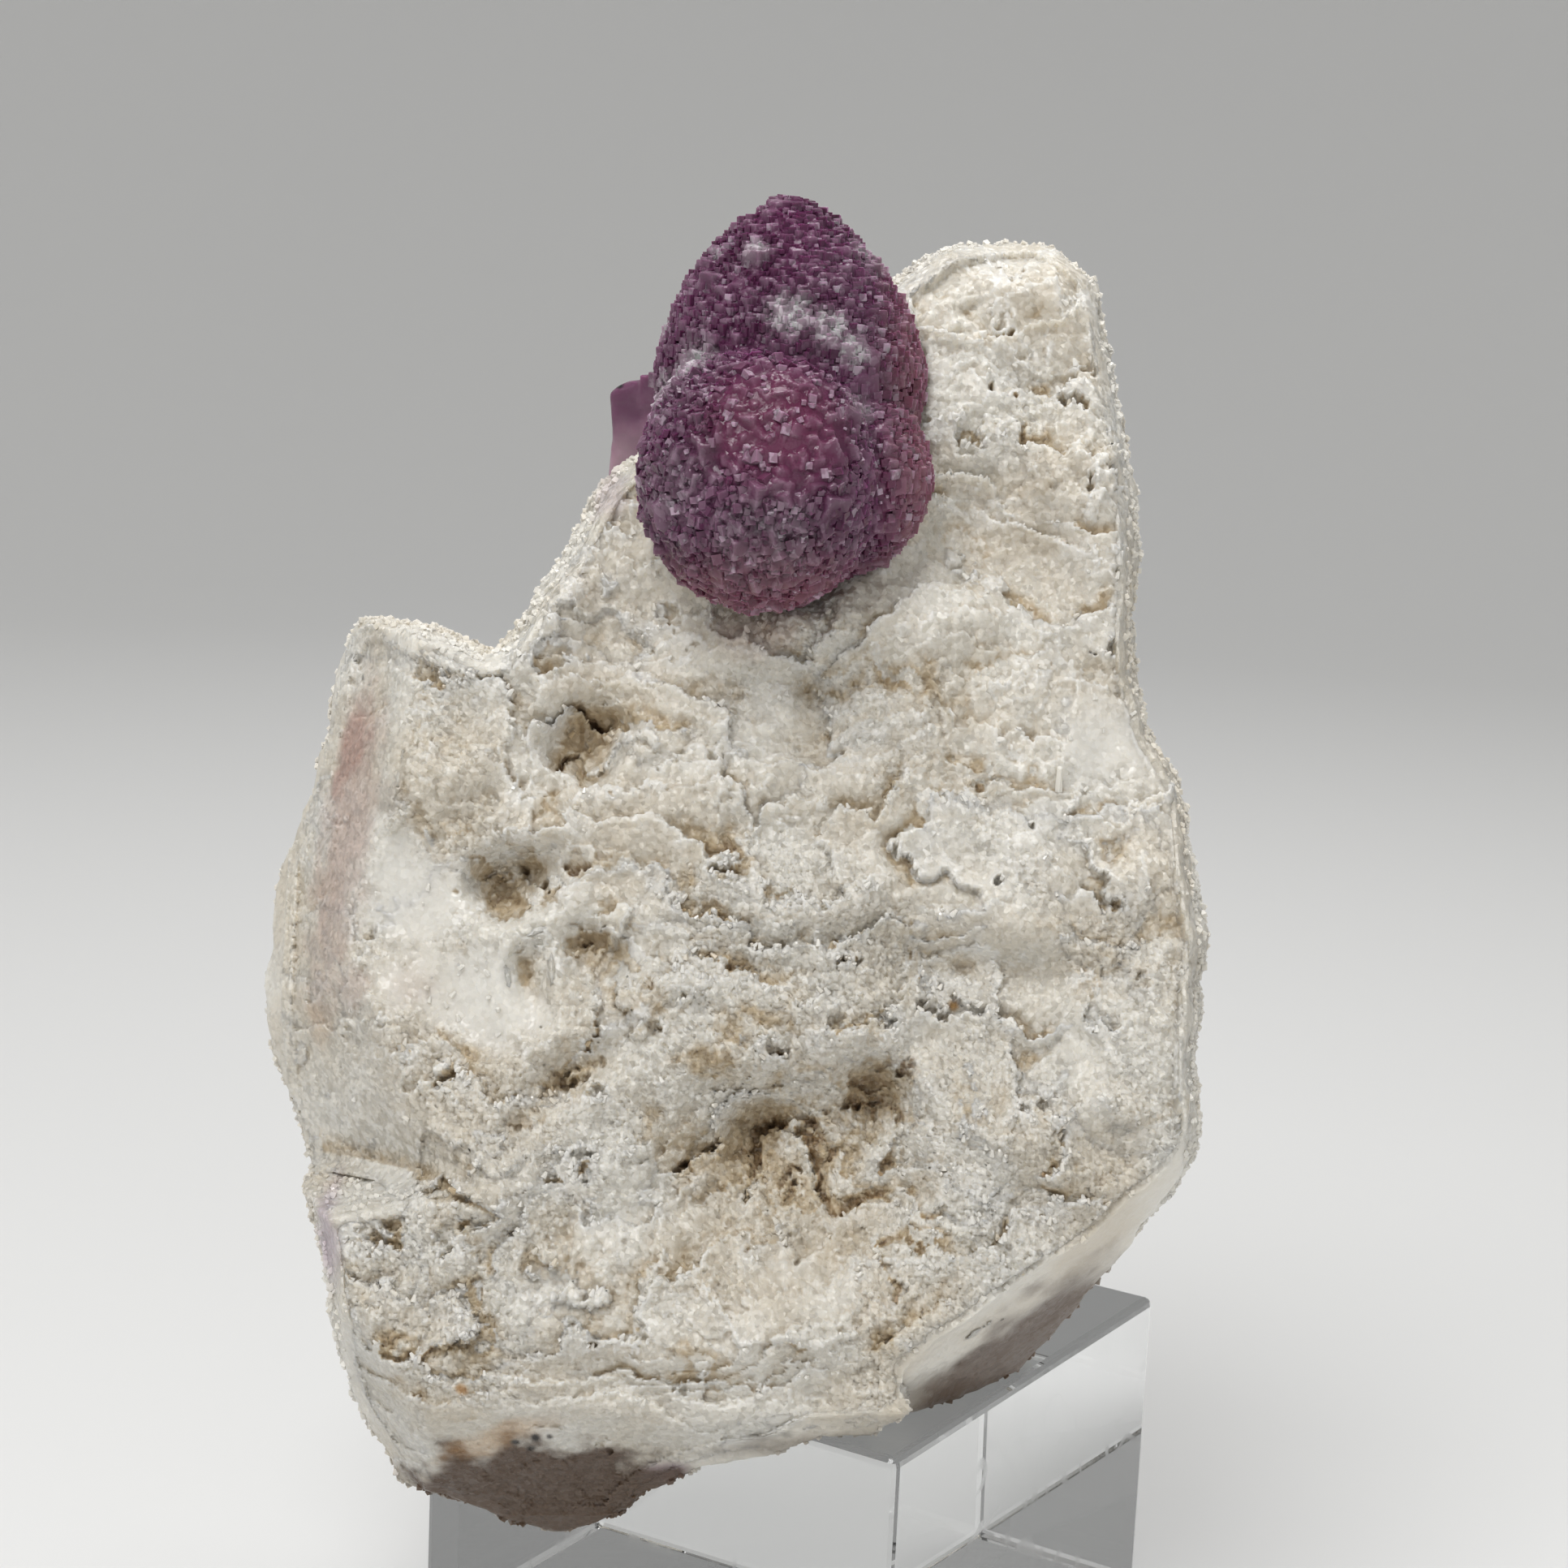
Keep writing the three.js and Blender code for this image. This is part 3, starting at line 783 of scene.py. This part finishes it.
def makeCrust(druse, material):
    raster, lean = druse.raster, druseSizes["overhang"]
    inner = ramp(druse.share, 0.3, 0.8)
    raised = inner * (druse.relief - druseSizes["sink"])
    raised -= druseSizes["borderDip"] * (1 - ramp(druse.share, 0.28, 0.45))
    low = inner * (druse.foot - druseSizes["sink"]) - druseSizes["thickness"]
    bottom = np.stack([raster.x, raster.y + lean * low, druse.ground + low], 2)
    covered = druse.share + 0.25 * raster.noise(0.8, 101) > 0.3
    values = {"recess": druse.recess, "rim": druse.rim, "stain": druse.stain, "smooth": druse.smooth,
              "growth": ramp(druse.rim, 0.3, 0.8) * (1 - 0.8 * druse.waxy)}
    for kind in tints:
        values[kind] = tintShare(raster.points(druse.ground), kind).reshape(raster.shape)
    # Each ledge goes to one piece, in their order up the face
    counts = np.bincount(druse.level[covered])
    order = np.argsort(np.bincount(druse.level[covered], raster.y[covered]) / np.maximum(counts, 1))
    share = np.zeros(len(counts))
    share[order] = (np.cumsum(counts[order]) - 0.5 * counts[order]) / counts.sum()
    owner = np.minimum((share * druseSizes["pieces"]).astype(int), druseSizes["pieces"] - 1)
    owner = owner[np.minimum(druse.level, len(counts) - 1)]
    pieces = []
    for n in range(druseSizes["pieces"]):
        own = covered & (owner == n)
        height = np.where(own, raised, raised - 0.02)
        top = np.stack([raster.x, raster.y + lean * height, druse.ground + height], 2)
        part = covered & (-lowest(-own.astype(float), 3) > 0.5)  # runs on under the next piece
        cells = part[:-1, :-1] & part[1:, :-1] & part[:-1, 1:] & part[1:, 1:]
        mesh = crustMesh("druse_" + str(n + 1), cells, top, bottom, values)
        piece = newPiece(mesh.name, mesh)
        print(piece.name, "before thinning:", len(mesh.polygons), "faces")
        modified(piece, "DECIMATE", ratio=min(1, druseSizes["triangles"] / (2 * len(mesh.polygons))))
        piece.data.materials.append(material)
        pieces.append(piece)
    return pieces


def quartzColor(tree, place, tone):
    values = {label: readValue(tree, label.lower()) for label in quartzMasks}
    return placeGroup(tree, tone, {"Place": place, **values})["Color"]


def matrixMaterial(tone):
    material, tree, shader, place = newMaterial("milkyQuartz")
    smooth = readValue(tree, "smooth")
    grains = placeGroup(tree, sugarGroup(), {"Place": place, "Grain": 0.26, "Tilt": 1.5})
    share = mapRange(tree, smooth, 0, 1, 0.18, 0.03)
    grey = mathNode(tree, "SUBTRACT", 1.0, product(tree, share, grains["Tone"]))
    bump = bumpNormal(tree, grains["Height"], mm, mapRange(tree, smooth, 0, 1, 0.95, 0.15))
    setInputs(tree, shader, {
        "Base Color": mixColor(tree, 1.0, quartzColor(tree, place, tone), grey, "MULTIPLY"),
        "Normal": bump, "Roughness": mapRange(tree, smooth, 0, 1, 0.38, 0.3),
        **scatter(0.6, (1.0, 0.93, 0.8), 1.1)})
    return material


# Quartz grains

def randomValue(tree, least, most, seed, kind="FLOAT"):
    first = 0 if kind == "FLOAT_VECTOR" else 2
    inputs = {first: least, first + 1: most, "Seed": seed}
    return addNode(tree, "FunctionNodeRandomValue", inputs, data_type=kind).outputs[first // 2]


def grainTree(name, material, spiky):
    labels = ("Density", "Smallest", "Largest", "Stretch", "Tilt", "Low", "High")
    inputs = {"Geometry": "Geometry", **{label: "Float" for label in labels}, "Seed": "Int"}
    tree, ins, outs = newGroup("Geometry", name, inputs, {"Geometry": "Geometry"})
    growth = addNode(tree, "GeometryNodeInputNamedAttribute", {"Name": "growth"}, data_type="FLOAT")
    place = addNode(tree, "GeometryNodeInputPosition").outputs[0]
    height = addNode(tree, "ShaderNodeSeparateXYZ", {0: place}).outputs["Y"]
    above, below = (addNode(tree, "FunctionNodeCompare", {"A": height, "B": ins[edge]}, data_type="FLOAT",
                            operation=operation).outputs[0]
                    for edge, operation in (("Low", "GREATER_EQUAL"), ("High", "LESS_THAN")))
    band = addNode(tree, "FunctionNodeBooleanMath", {0: above, 1: below}, operation="AND").outputs[0]
    density = product(tree, ins["Density"], growth.outputs["Attribute"])
    spread = addNode(tree, "GeometryNodeDistributePointsOnFaces",
                     {"Mesh": ins["Geometry"], "Selection": band, "Density": density, "Seed": ins["Seed"]},
                     distribute_method="RANDOM").outputs
    if spiky:
        crystal = addNode(tree, "GeometryNodeMeshCone",
                          {"Vertices": 5, "Radius Top": 0.45, "Radius Bottom": 1.0, "Depth": 2.0})
        aligned = addNode(tree, "FunctionNodeAlignRotationToVector", {"Vector": (0.0, 0.85, 0.5)}, axis="Z")
        upright = aligned.outputs[0]
    else:
        crystal = addNode(tree, "GeometryNodeMeshCube", {"Size": (2.0, 2.0, 2.0)})
        upright = spread["Rotation"]
    size = randomValue(tree, ins["Smallest"], ins["Largest"], ins["Seed"])
    scale = addNode(tree, "ShaderNodeCombineXYZ", {0: size, 1: size, 2: product(tree, size, ins["Stretch"])})
    least = product(tree, ins["Tilt"], -1.0)
    turns = [addNode(tree, "ShaderNodeCombineXYZ", {0: tilt, 1: tilt, 2: turn}).outputs[0]
             for tilt, turn in ((least, -3.14), (ins["Tilt"], 3.14))]
    spin = randomValue(tree, *turns, 7, "FLOAT_VECTOR")
    turn = addNode(tree, "FunctionNodeRotateRotation", {"Rotation": upright, "Rotate By": spin},
                   rotation_space="LOCAL").outputs[0]
    grains = addNode(tree, "GeometryNodeInstanceOnPoints", {
        "Points": spread["Points"], "Instance": crystal.outputs["Mesh"], "Rotation": turn,
        "Scale": scale.outputs[0]})
    marked = addNode(tree, "GeometryNodeStoreNamedAttribute", {
        "Geometry": grains.outputs["Instances"], "Name": "glint", "Value": randomValue(tree, 0.0, 1.0, 19)},
        data_type="FLOAT", domain="INSTANCE")
    real = addNode(tree, "GeometryNodeRealizeInstances", {"Geometry": marked.outputs[0]})
    flat = addNode(tree, "GeometryNodeSetShadeSmooth", {"Geometry": real.outputs[0], "Shade Smooth": False})
    dressed = addNode(tree, "GeometryNodeSetMaterial", {"Geometry": flat.outputs[0], "Material": material})
    tree.links.new(dressed.outputs[0], outs["Geometry"])
    return tree


def growGrains(name, ground, tree, inputs):
    piece = newPiece(name, ground.data.copy())
    grow = piece.modifiers.new("grow", "NODES")
    grow.node_group = tree
    sockets = {item.name: item.identifier for item in tree.interface.items_tree
               if item.item_type == "SOCKET" and item.in_out == "INPUT"}
    for label, value in inputs.items():
        grow[sockets[label]] = value
    bakeModifiers(piece)
    print(name, len(piece.data.polygons), "faces")
    return piece


def grainMaterial(tone):
    material, tree, shader, place = newMaterial("quartzGrains")
    setInputs(tree, shader, {
        "Base Color": quartzColor(tree, place, tone),
        "Roughness": mapRange(tree, readValue(tree, "glint"), 0.75, 0.95, 0.5, 0.12),
        **scatter(0.5, (1.0, 0.96, 0.88), 0.5)})
    return material


# Loose grains on the bare quartz, and points on the edges of the crust; they grow between low and high
grainSizes = {"Density": 6.5, "Smallest": 0.06, "Largest": 0.15, "Stretch": 1.15, "Tilt": 1.2}
pointSizes = {"Density": 2.5, "Smallest": 0.08, "Largest": 0.18, "Stretch": 1.1, "Tilt": 0.9}
grainBands = {"grains_low": (-60.0, -8.0), "grains_high": (-8.0, 60.0)}


def makeGrains(matrix, crust, material):
    sugarTree = grainTree("growSugar", material, False)
    pointTree = grainTree("growPoints", material, True)
    mesh = matrix.data
    smooth, bare = (readStored(mesh, name) for name in ("smooth", "bare"))
    storeValue(mesh, "growth", 0.6 * (1 - ramp(smooth, 0.2, 0.7)) * ramp(bare, 0.3, 0.9))
    pieces = []
    for n, (name, (low, high)) in enumerate(grainBands.items()):
        inputs = {**grainSizes, "Low": low, "High": high, "Seed": n + 1}
        pieces.append(growGrains(name, matrix, sugarTree, inputs))
    for n, piece in enumerate(crust):
        inputs = {**pointSizes, "Low": -60.0, "High": 60.0, "Seed": n + 11}
        pieces.append(growGrains("points_" + str(n + 1), piece, pointTree, inputs))
    return pieces


# The one clear blade, beside the milky patch on the right
blade = {"at": (13.9, 0.3), "above": 0.25, "height": 1.3, "width": 0.22, "taper": 0.25, "turn": (-66, 0, -4)}


def makeBlade(druse, material):
    x, y = blade["at"]
    bm = bmesh.new()
    bmesh.ops.create_cone(bm, cap_ends=True, segments=6, radius1=blade["width"], radius2=blade["width"],
                          depth=blade["height"])
    tip = [v for v in bm.verts if v.co.z > 0 and v.co.x > 0]
    bmesh.ops.scale(bm, vec=(blade["taper"], blade["taper"], 1), verts=tip)
    bmesh.ops.rotate(bm, matrix=Matrix(turnMatrix(blade["turn"])), verts=bm.verts)
    face = druse.raster.sample(druse.ground + druse.relief, np.array([x]), np.array([y]))[0]
    bmesh.ops.translate(bm, vec=(x, y, face - druseSizes["sink"] + blade["above"]), verts=bm.verts)
    mesh = meshFrom(bm, "blade")
    mesh.materials.append(material)
    return newPiece("blade", mesh)


# Fluorite

# Middle, half sizes, roundness; how many cubes, how far they stand out and how loosely they lie
lobes = [dict(zip(("at", "size", "power", "cubes", "stand", "loose"), row)) for row in (
    ((0.3, 20.6, 8.2), (6.8, 9.2, 6.6), 1.6, 1.0, 1.0, 0.07),
    ((-1.2, 15.3, 11.6), (5.9, 6.5, 6.3), 2.05, 0.9, 0.7, 0.35),
    ((2.7, 15.7, 9.2), (4.6, 5.0, 5.0), 1.9, 0.5, 1.1, 0.12),
)]
fluoriteSizes = {
    "core": 0.985,  # size of a lobe below its cubes
    "voxel": 0.115,
    "kept": 0.5,  # share of triangles kept on the flat cube faces
    # Per lobe: how many cubes, their side, the share of it that stands out, and seed
    "cubes": [(60, (0.8, 1.4), (0.02, 0.18), 21), (1000, (0.35, 0.75), (0.05, 0.26), 22)],
    # The same for the small sharp ones that stand on them
    "steps": [(2500, (0.24, 0.5), (0.15, 0.42), 24), (4200, (0.11, 0.26), (0.3, 0.6), 25)],
    "terraceTo": (-0.55, -0.75, 0.35),  # curved growth terraces low on the left
    "terracePitch": 0.085,
    "terraceRise": 0.30,
    "glow": ((-0.2, 17.3, 17.5), (5.0, 4.5, 5.0)),  # the clearer middle: place and half sizes
    "pink": [((1, 0, 0), (3.8, 7.0)), ((0, -1, 0), (-12.5, -9.0)), ((0, 0, -1), (-9.5, -4.0))],  # way, reach
}
latticeTurn = turnMatrix((17, 33, 7))  # all cubes share one lattice

# Frosted clusters: middle, reach, strength
frostSpots = [
    ((0.3, 22.9, 14.0), 1.5, 1.0),
    ((2.2, 22.4, 14.0), 1.3, 0.9),
    ((3.4, 21.3, 13.4), 1.2, 0.8),
    ((3.9, 18.6, 14.2), 1.2, 0.5),
    ((-4.4, 20.6, 12.4), 1.7, 0.8),
    ((-6.2, 19.3, 11.0), 2.0, 0.8),
    ((-6.5, 23.3, 8.0), 1.4, 0.9),
    ((-1.3, 26.2, 11.5), 1.1, 0.8),
    ((-3.3, 26.9, 10.0), 0.7, 0.7),
    ((4.3, 26.8, 9.0), 1.6, 0.45),
    ((-4.8, 14.0, 14.6), 3.0, 0.16),
    ((-1.2, 12.0, 16.0), 3.6, 0.16),
]


def lobeReach(directions, lobe):
    total = np.sum(np.abs(directions / np.array(lobe["size"])) ** lobe["power"], axis=1)
    reach = total ** (-1 / lobe["power"])
    along = directions @ (np.array(fluoriteSizes["terraceTo"]) / np.linalg.norm(fluoriteSizes["terraceTo"]))
    phase = along / fluoriteSizes["terracePitch"] + 0.35 * noiseAt(directions, 0.35, 61)
    step = fluoriteSizes["terraceRise"] * ((phase % 1) - 0.5)
    return reach + step * ramp(along, 0.15, 0.6) + 0.12 * noiseAt(directions, 0.3, 62)


def spreadDirections(count, rng):
    height = 1 - 2 * (np.arange(count) + 0.5) / count
    angle = np.arange(count) * math.pi * (3 - math.sqrt(5))
    ring = np.sqrt(1 - height ** 2)
    directions = np.stack([ring * np.cos(angle), height, ring * np.sin(angle)], 1)
    directions += rng.normal(0, 0.9 / math.sqrt(count), directions.shape)
    return unit(directions)


def outermost(points, own):  # outside every other lobe, or nearly
    free = np.ones(len(points), bool)
    for lobe in lobes:
        if lobe is not own:
            away = points - lobe["at"]
            distance = np.linalg.norm(away, axis=1)
            free &= distance > 0.97 * lobeReach(away / distance[:, None], lobe)
    return free


def latticeCubes(kind):
    corners = np.array(list(np.ndindex(2, 2, 2))) - 0.5
    faces = np.array([(0, 1, 3, 2), (4, 6, 7, 5), (0, 4, 5, 1), (2, 3, 7, 6), (0, 2, 6, 4), (1, 5, 7, 3)])
    points = []
    for lobe in lobes:
        for most, sides, outs, seed in fluoriteSizes[kind]:
            rng = np.random.default_rng(seed)
            count = int(most * lobe["cubes"])
            directions = spreadDirections(count, rng)
            side = rng.uniform(*sides, count)
            reach = lobeReach(directions, lobe)
            flat = glowShare(directions * reach[:, None] + lobe["at"]) if kind == "cubes" else 0
            out = rng.uniform(*outs, count) * lobe["stand"] * (1 - 0.8 * flat) - 0.05 * flat
            centre = directions * (reach - (0.5 - out) * side)[:, None] + lobe["at"]
            tilt = rng.normal(0, lobe["loose"], (count, 3))
            box = corners[None] * side[:, None, None] * rng.uniform(0.8, 1.2, (count, 1, 3))
            box += np.cross(tilt[:, None], box) / np.sqrt(1 + np.sum(tilt ** 2, axis=1))[:, None, None]
            points.append(((centre @ latticeTurn)[:, None] + box)[outermost(centre, lobe)])
    points = np.concatenate(points).reshape(-1, 3)
    quads = (faces[None] + 8 * np.arange(len(points) // 8)[:, None, None]).reshape(-1, 4)
    return points, quads


def makeFluorite():
    bm = bmesh.new()
    for lobe in lobes:
        made = bmesh.ops.create_icosphere(bm, subdivisions=5, radius=1)["verts"]
        directions = np.array([v.co for v in made])
        points = directions * (lobeReach(directions, lobe) * fluoriteSizes["core"])[:, None] + lobe["at"]
        for vert, point in zip(made, points @ latticeTurn):
            vert.co = point
    points, quads = latticeCubes("cubes")
    verts = [bm.verts.new(point) for point in points]
    for quad in quads:
        bm.faces.new([verts[n] for n in quad])
    piece = newPiece("fluorite", meshFrom(bm, "fluorite"))
    modified(piece, "REMESH", mode="VOXEL", voxel_size=fluoriteSizes["voxel"])
    modified(piece, "DECIMATE", ratio=fluoriteSizes["kept"])
    mesh = piece.data
    points = meshPoints(mesh) @ latticeTurn.T
    setPoints(mesh, points)
    print("fluorite:", len(mesh.polygons), "faces")
    broad = unit(neighbourMean(mesh, meshNormals(mesh), 10))
    edge = np.sum((points - neighbourMean(mesh, points, 3)) * broad, axis=1)
    rise = np.sum((points - neighbourMean(mesh, points, 14)) * broad, axis=1)
    # crest: painted highlight on the convex tops of the cubes
    storeValue(mesh, "crest", 0.35 * ramp(0.8 * edge + rise, -0.02, 0.22))
    # cleft: painted shade in the hollows between the cubes
    storeValue(mesh, "cleft", ramp(-rise - 0.4 * edge, -0.02, 0.2))
    markPlaces(mesh, points)
    return piece


def makeSteps():
    points, quads = latticeCubes("steps")
    points = points @ latticeTurn.T
    middles = points.reshape(-1, 8, 3).mean(1)
    chance = np.random.default_rng(26).uniform(0, 1, len(middles))
    kept = noiseAt(middles, 1.6, 64) - 1.7 * glowShare(middles) > -0.75  # few stand on the clear middle
    kept |= chance > 0.9
    mesh = quadMesh("fluorite_steps", points[np.repeat(kept, 8)], quads[:6 * kept.sum()])
    chance = np.repeat(chance[kept], 8)
    # On the small cubes these masks only pick random paler and darker cubes
    storeValue(mesh, "crest", 0.3 * ramp(chance, 0.3, 0.8) + 0.7 * ramp(chance, 0.84, 0.96))
    storeValue(mesh, "cleft", 0.5 * ramp(1 - chance, 0.6, 1.0))
    markPlaces(mesh, np.repeat(middles[kept], 8, 0))
    mesh.shade_flat()
    print("fluorite steps:", len(mesh.polygons), "faces")
    return newPiece("fluorite_steps", mesh)


def glowShare(points):
    at, size = fluoriteSizes["glow"]
    return 1 - ramp(np.linalg.norm((points - at) / size, axis=1), 0.3, 1.1)


def markPlaces(mesh, points):
    frost = np.zeros(len(points))
    for at, reach, strength in frostSpots:
        away = np.linalg.norm((points - at) * (1, 1, 0.6), axis=1)
        frost = np.maximum(frost, strength * (1 - ramp(away, 0.35 * reach, reach)))
    right, low, back = (ramp(points @ way, *reach) for way, reach in fluoriteSizes["pink"])
    storeValue(mesh, "frost", frost)
    storeValue(mesh, "glow", glowShare(points))
    storeValue(mesh, "pink", np.clip(right + 0.9 * low + 0.8 * back, 0, 1))


def fluoriteMaterial():
    material, tree, shader, place = newMaterial("purpleFluorite")
    clouds = mapRange(tree, noiseTexture(tree, place, 260, 3), 0.35, 0.68)
    speckle = mapRange(tree, noiseTexture(tree, place, 1700, 2), 0.45, 0.6)
    body = mixColor(tree, clouds, (0.066, 0.016, 0.046, 1), (0.11, 0.028, 0.078, 1))
    layers = [  # mask, its share, and how much of it is left between the speckles
        ("glow", 0.7, 1.0, (0.13, 0.026, 0.062, 1)),
        ("pink", 0.7, 1.0, (0.20, 0.07, 0.085, 1)),
        # cleft: painted shade in the hollows, and random darker small cubes
        ("cleft", 0.6, 1.0, (0.045, 0.014, 0.035, 1)),
        # crest: painted highlight on convex tops, and random paler small cubes
        ("crest", 0.8, 0.5, (0.47, 0.36, 0.44, 1)),
        ("frost", 0.9, 0.4, (0.58, 0.53, 0.56, 1)),
    ]
    for mask, share, between, color in layers:
        amount = product(tree, readValue(tree, mask), mapRange(tree, speckle, 0, 1, between * share, share))
        body = mixColor(tree, amount, body, color)
    setInputs(tree, shader, {
        "Base Color": body, "Normal": bumpNormal(tree, noiseTexture(tree, place, 5200, 2), 0.00005, 0.5),
        "Roughness": mapRange(tree, speckle, 0, 1, 0.16, 0.34), "IOR": 1.43, "Specular IOR Level": 0.4,
        **scatter(0.5, (1.0, 0.45, 0.8), 0.5)})
    return material


# The smoother crystal on the shoulder

sideSizes = {
    "at": (-6.9, 18.8, 1.0),
    "size": (3.7, 5.5, 4.2),
    "edge": 0.5,
    "turn": (8, -22, -4),
    "cell": 0.1,
    "step": ((1.0, 2.2, 1.1), (1.9, 1.7, 2.2)),  # low growth step on its right: middle and size
    "hang": 0.5,  # of its left corner
    "flare": 0.16,
    "speck": ((-8.66, 21.1), 0.24),
}


def makeSideCrystal():
    bm = bmesh.new()
    bmesh.ops.create_cube(bm, size=1)
    bmesh.ops.scale(bm, vec=sideSizes["size"], verts=bm.verts)
    bevelled(bm, sideSizes["edge"])
    step = bmesh.ops.create_cube(bm, size=1)["verts"]
    bmesh.ops.scale(bm, vec=sideSizes["step"][1], verts=step)
    bmesh.ops.translate(bm, vec=sideSizes["step"][0], verts=step)
    piece = newPiece("side_fluorite", meshFrom(bm, "side_fluorite"))
    modified(piece, "REMESH", mode="VOXEL", voxel_size=sideSizes["cell"])
    mesh = piece.data
    points = neighbourMean(mesh, meshPoints(mesh), 2)
    points += meshNormals(mesh) * (0.07 * noiseAt(points, 1.2, 71) + 0.03 * noiseAt(points, 0.4, 72))[:, None]
    points[:, 1] -= sideSizes["hang"] * ramp(-points[:, 0], 0.2, 2.0) * ramp(points[:, 1], 0.5, 2.8)
    points[:, 0] *= 1 + sideSizes["flare"] * (points[:, 1] / 2.75) ** 2 - 0.08
    foot = ramp(-points[:, 1] + 0.5 * noiseAt(points, 1.0, 73), -0.9, 1.9)
    placed = points @ turnMatrix(sideSizes["turn"]).T + sideSizes["at"]
    setPoints(mesh, placed)
    (x, y), reach = sideSizes["speck"]
    storeValue(mesh, "foot", foot)
    storeValue(mesh, "speck", 1 - ramp(np.hypot(placed[:, 0] - x, placed[:, 1] - y), 0.5 * reach, reach))
    mesh.shade_smooth()
    print("side fluorite:", len(mesh.polygons), "faces")
    return piece


def sideMaterial():
    material, tree, shader, place = newMaterial("lilacFluorite")
    clouds = mapRange(tree, noiseTexture(tree, place, 420, 3), 0.35, 0.65)
    body = mixColor(tree, clouds, (0.13, 0.055, 0.10, 1), (0.22, 0.11, 0.17, 1))
    body = mixColor(tree, readValue(tree, "foot"), body, (0.36, 0.25, 0.29, 1))
    body = mixColor(tree, readValue(tree, "speck"), body, (0.01, 0.008, 0.01, 1))
    setInputs(tree, shader, {
        "Base Color": body, "Normal": bumpNormal(tree, noiseTexture(tree, place, 2600, 3), 0.00009, 0.6),
        "Roughness": 0.25, "IOR": 1.43, **scatter(0.8, (1.0, 0.5, 0.85), 1.5)})
    return material


# Acrylic block

blockSizes = {"side": 30, "height": 18, "edge": 0.5, "turn": 57.8}


def makeBlock():
    bm = bmesh.new()
    bmesh.ops.create_cube(bm, size=1)
    bmesh.ops.scale(bm, vec=[blockSizes[key] * mm for key in ("side", "side", "height")], verts=bm.verts)
    bmesh.ops.translate(bm, vec=(0, 0, blockSizes["height"] / 2 * mm), verts=bm.verts)
    bevelled(bm, blockSizes["edge"] * mm)
    bmesh.ops.rotate(bm, matrix=Matrix.Rotation(math.radians(blockSizes["turn"]), 3, "Z"), verts=bm.verts)
    return newPiece("clear_block", meshFrom(bm, "clear_block"))


def acrylicMaterial():
    material, tree, shader, place = newMaterial("clearAcrylic")
    scuffs = addNode(tree, "ShaderNodeTexWave", {"Vector": place, "Scale": 60, "Distortion": 30, "Detail": 4})
    setInputs(tree, shader, {
        "Base Color": (0.97, 0.98, 0.98, 1), "IOR": 1.49, "Transmission Weight": 1.0,
        "Roughness": mapRange(tree, scuffs.outputs["Fac"], 0.9, 1.0, 0.01, 0.12)})
    return material


# Build

placeCamera()
layFloor()
lightStudio()
tone = quartzToneGroup()
matrix, druse = makeMatrix()
quartz = matrixMaterial(tone)
matrix.data.materials.append(quartz)
crust = makeCrust(druse, quartz)
grainQuartz = grainMaterial(tone)
for piece in crust + makeGrains(matrix, crust, grainQuartz) + [makeBlade(druse, grainQuartz)]:
    settle(piece, "druzy_quartz")
settle(matrix, "druzy_quartz", "matrix")
purple = fluoriteMaterial()
for piece, nodes in ((makeFluorite(), ["fluorite_crystal"]), (makeSteps(), [])):
    piece.data.materials.append(purple)
    settle(piece, "purple_fluorite", *nodes)
side = makeSideCrystal()
side.data.materials.append(sideMaterial())
settle(side, "pink_fluorite", "side_crystal")
block = makeBlock()
block.data.materials.append(acrylicMaterial())
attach(block, "root")
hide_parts("acrylic_block")
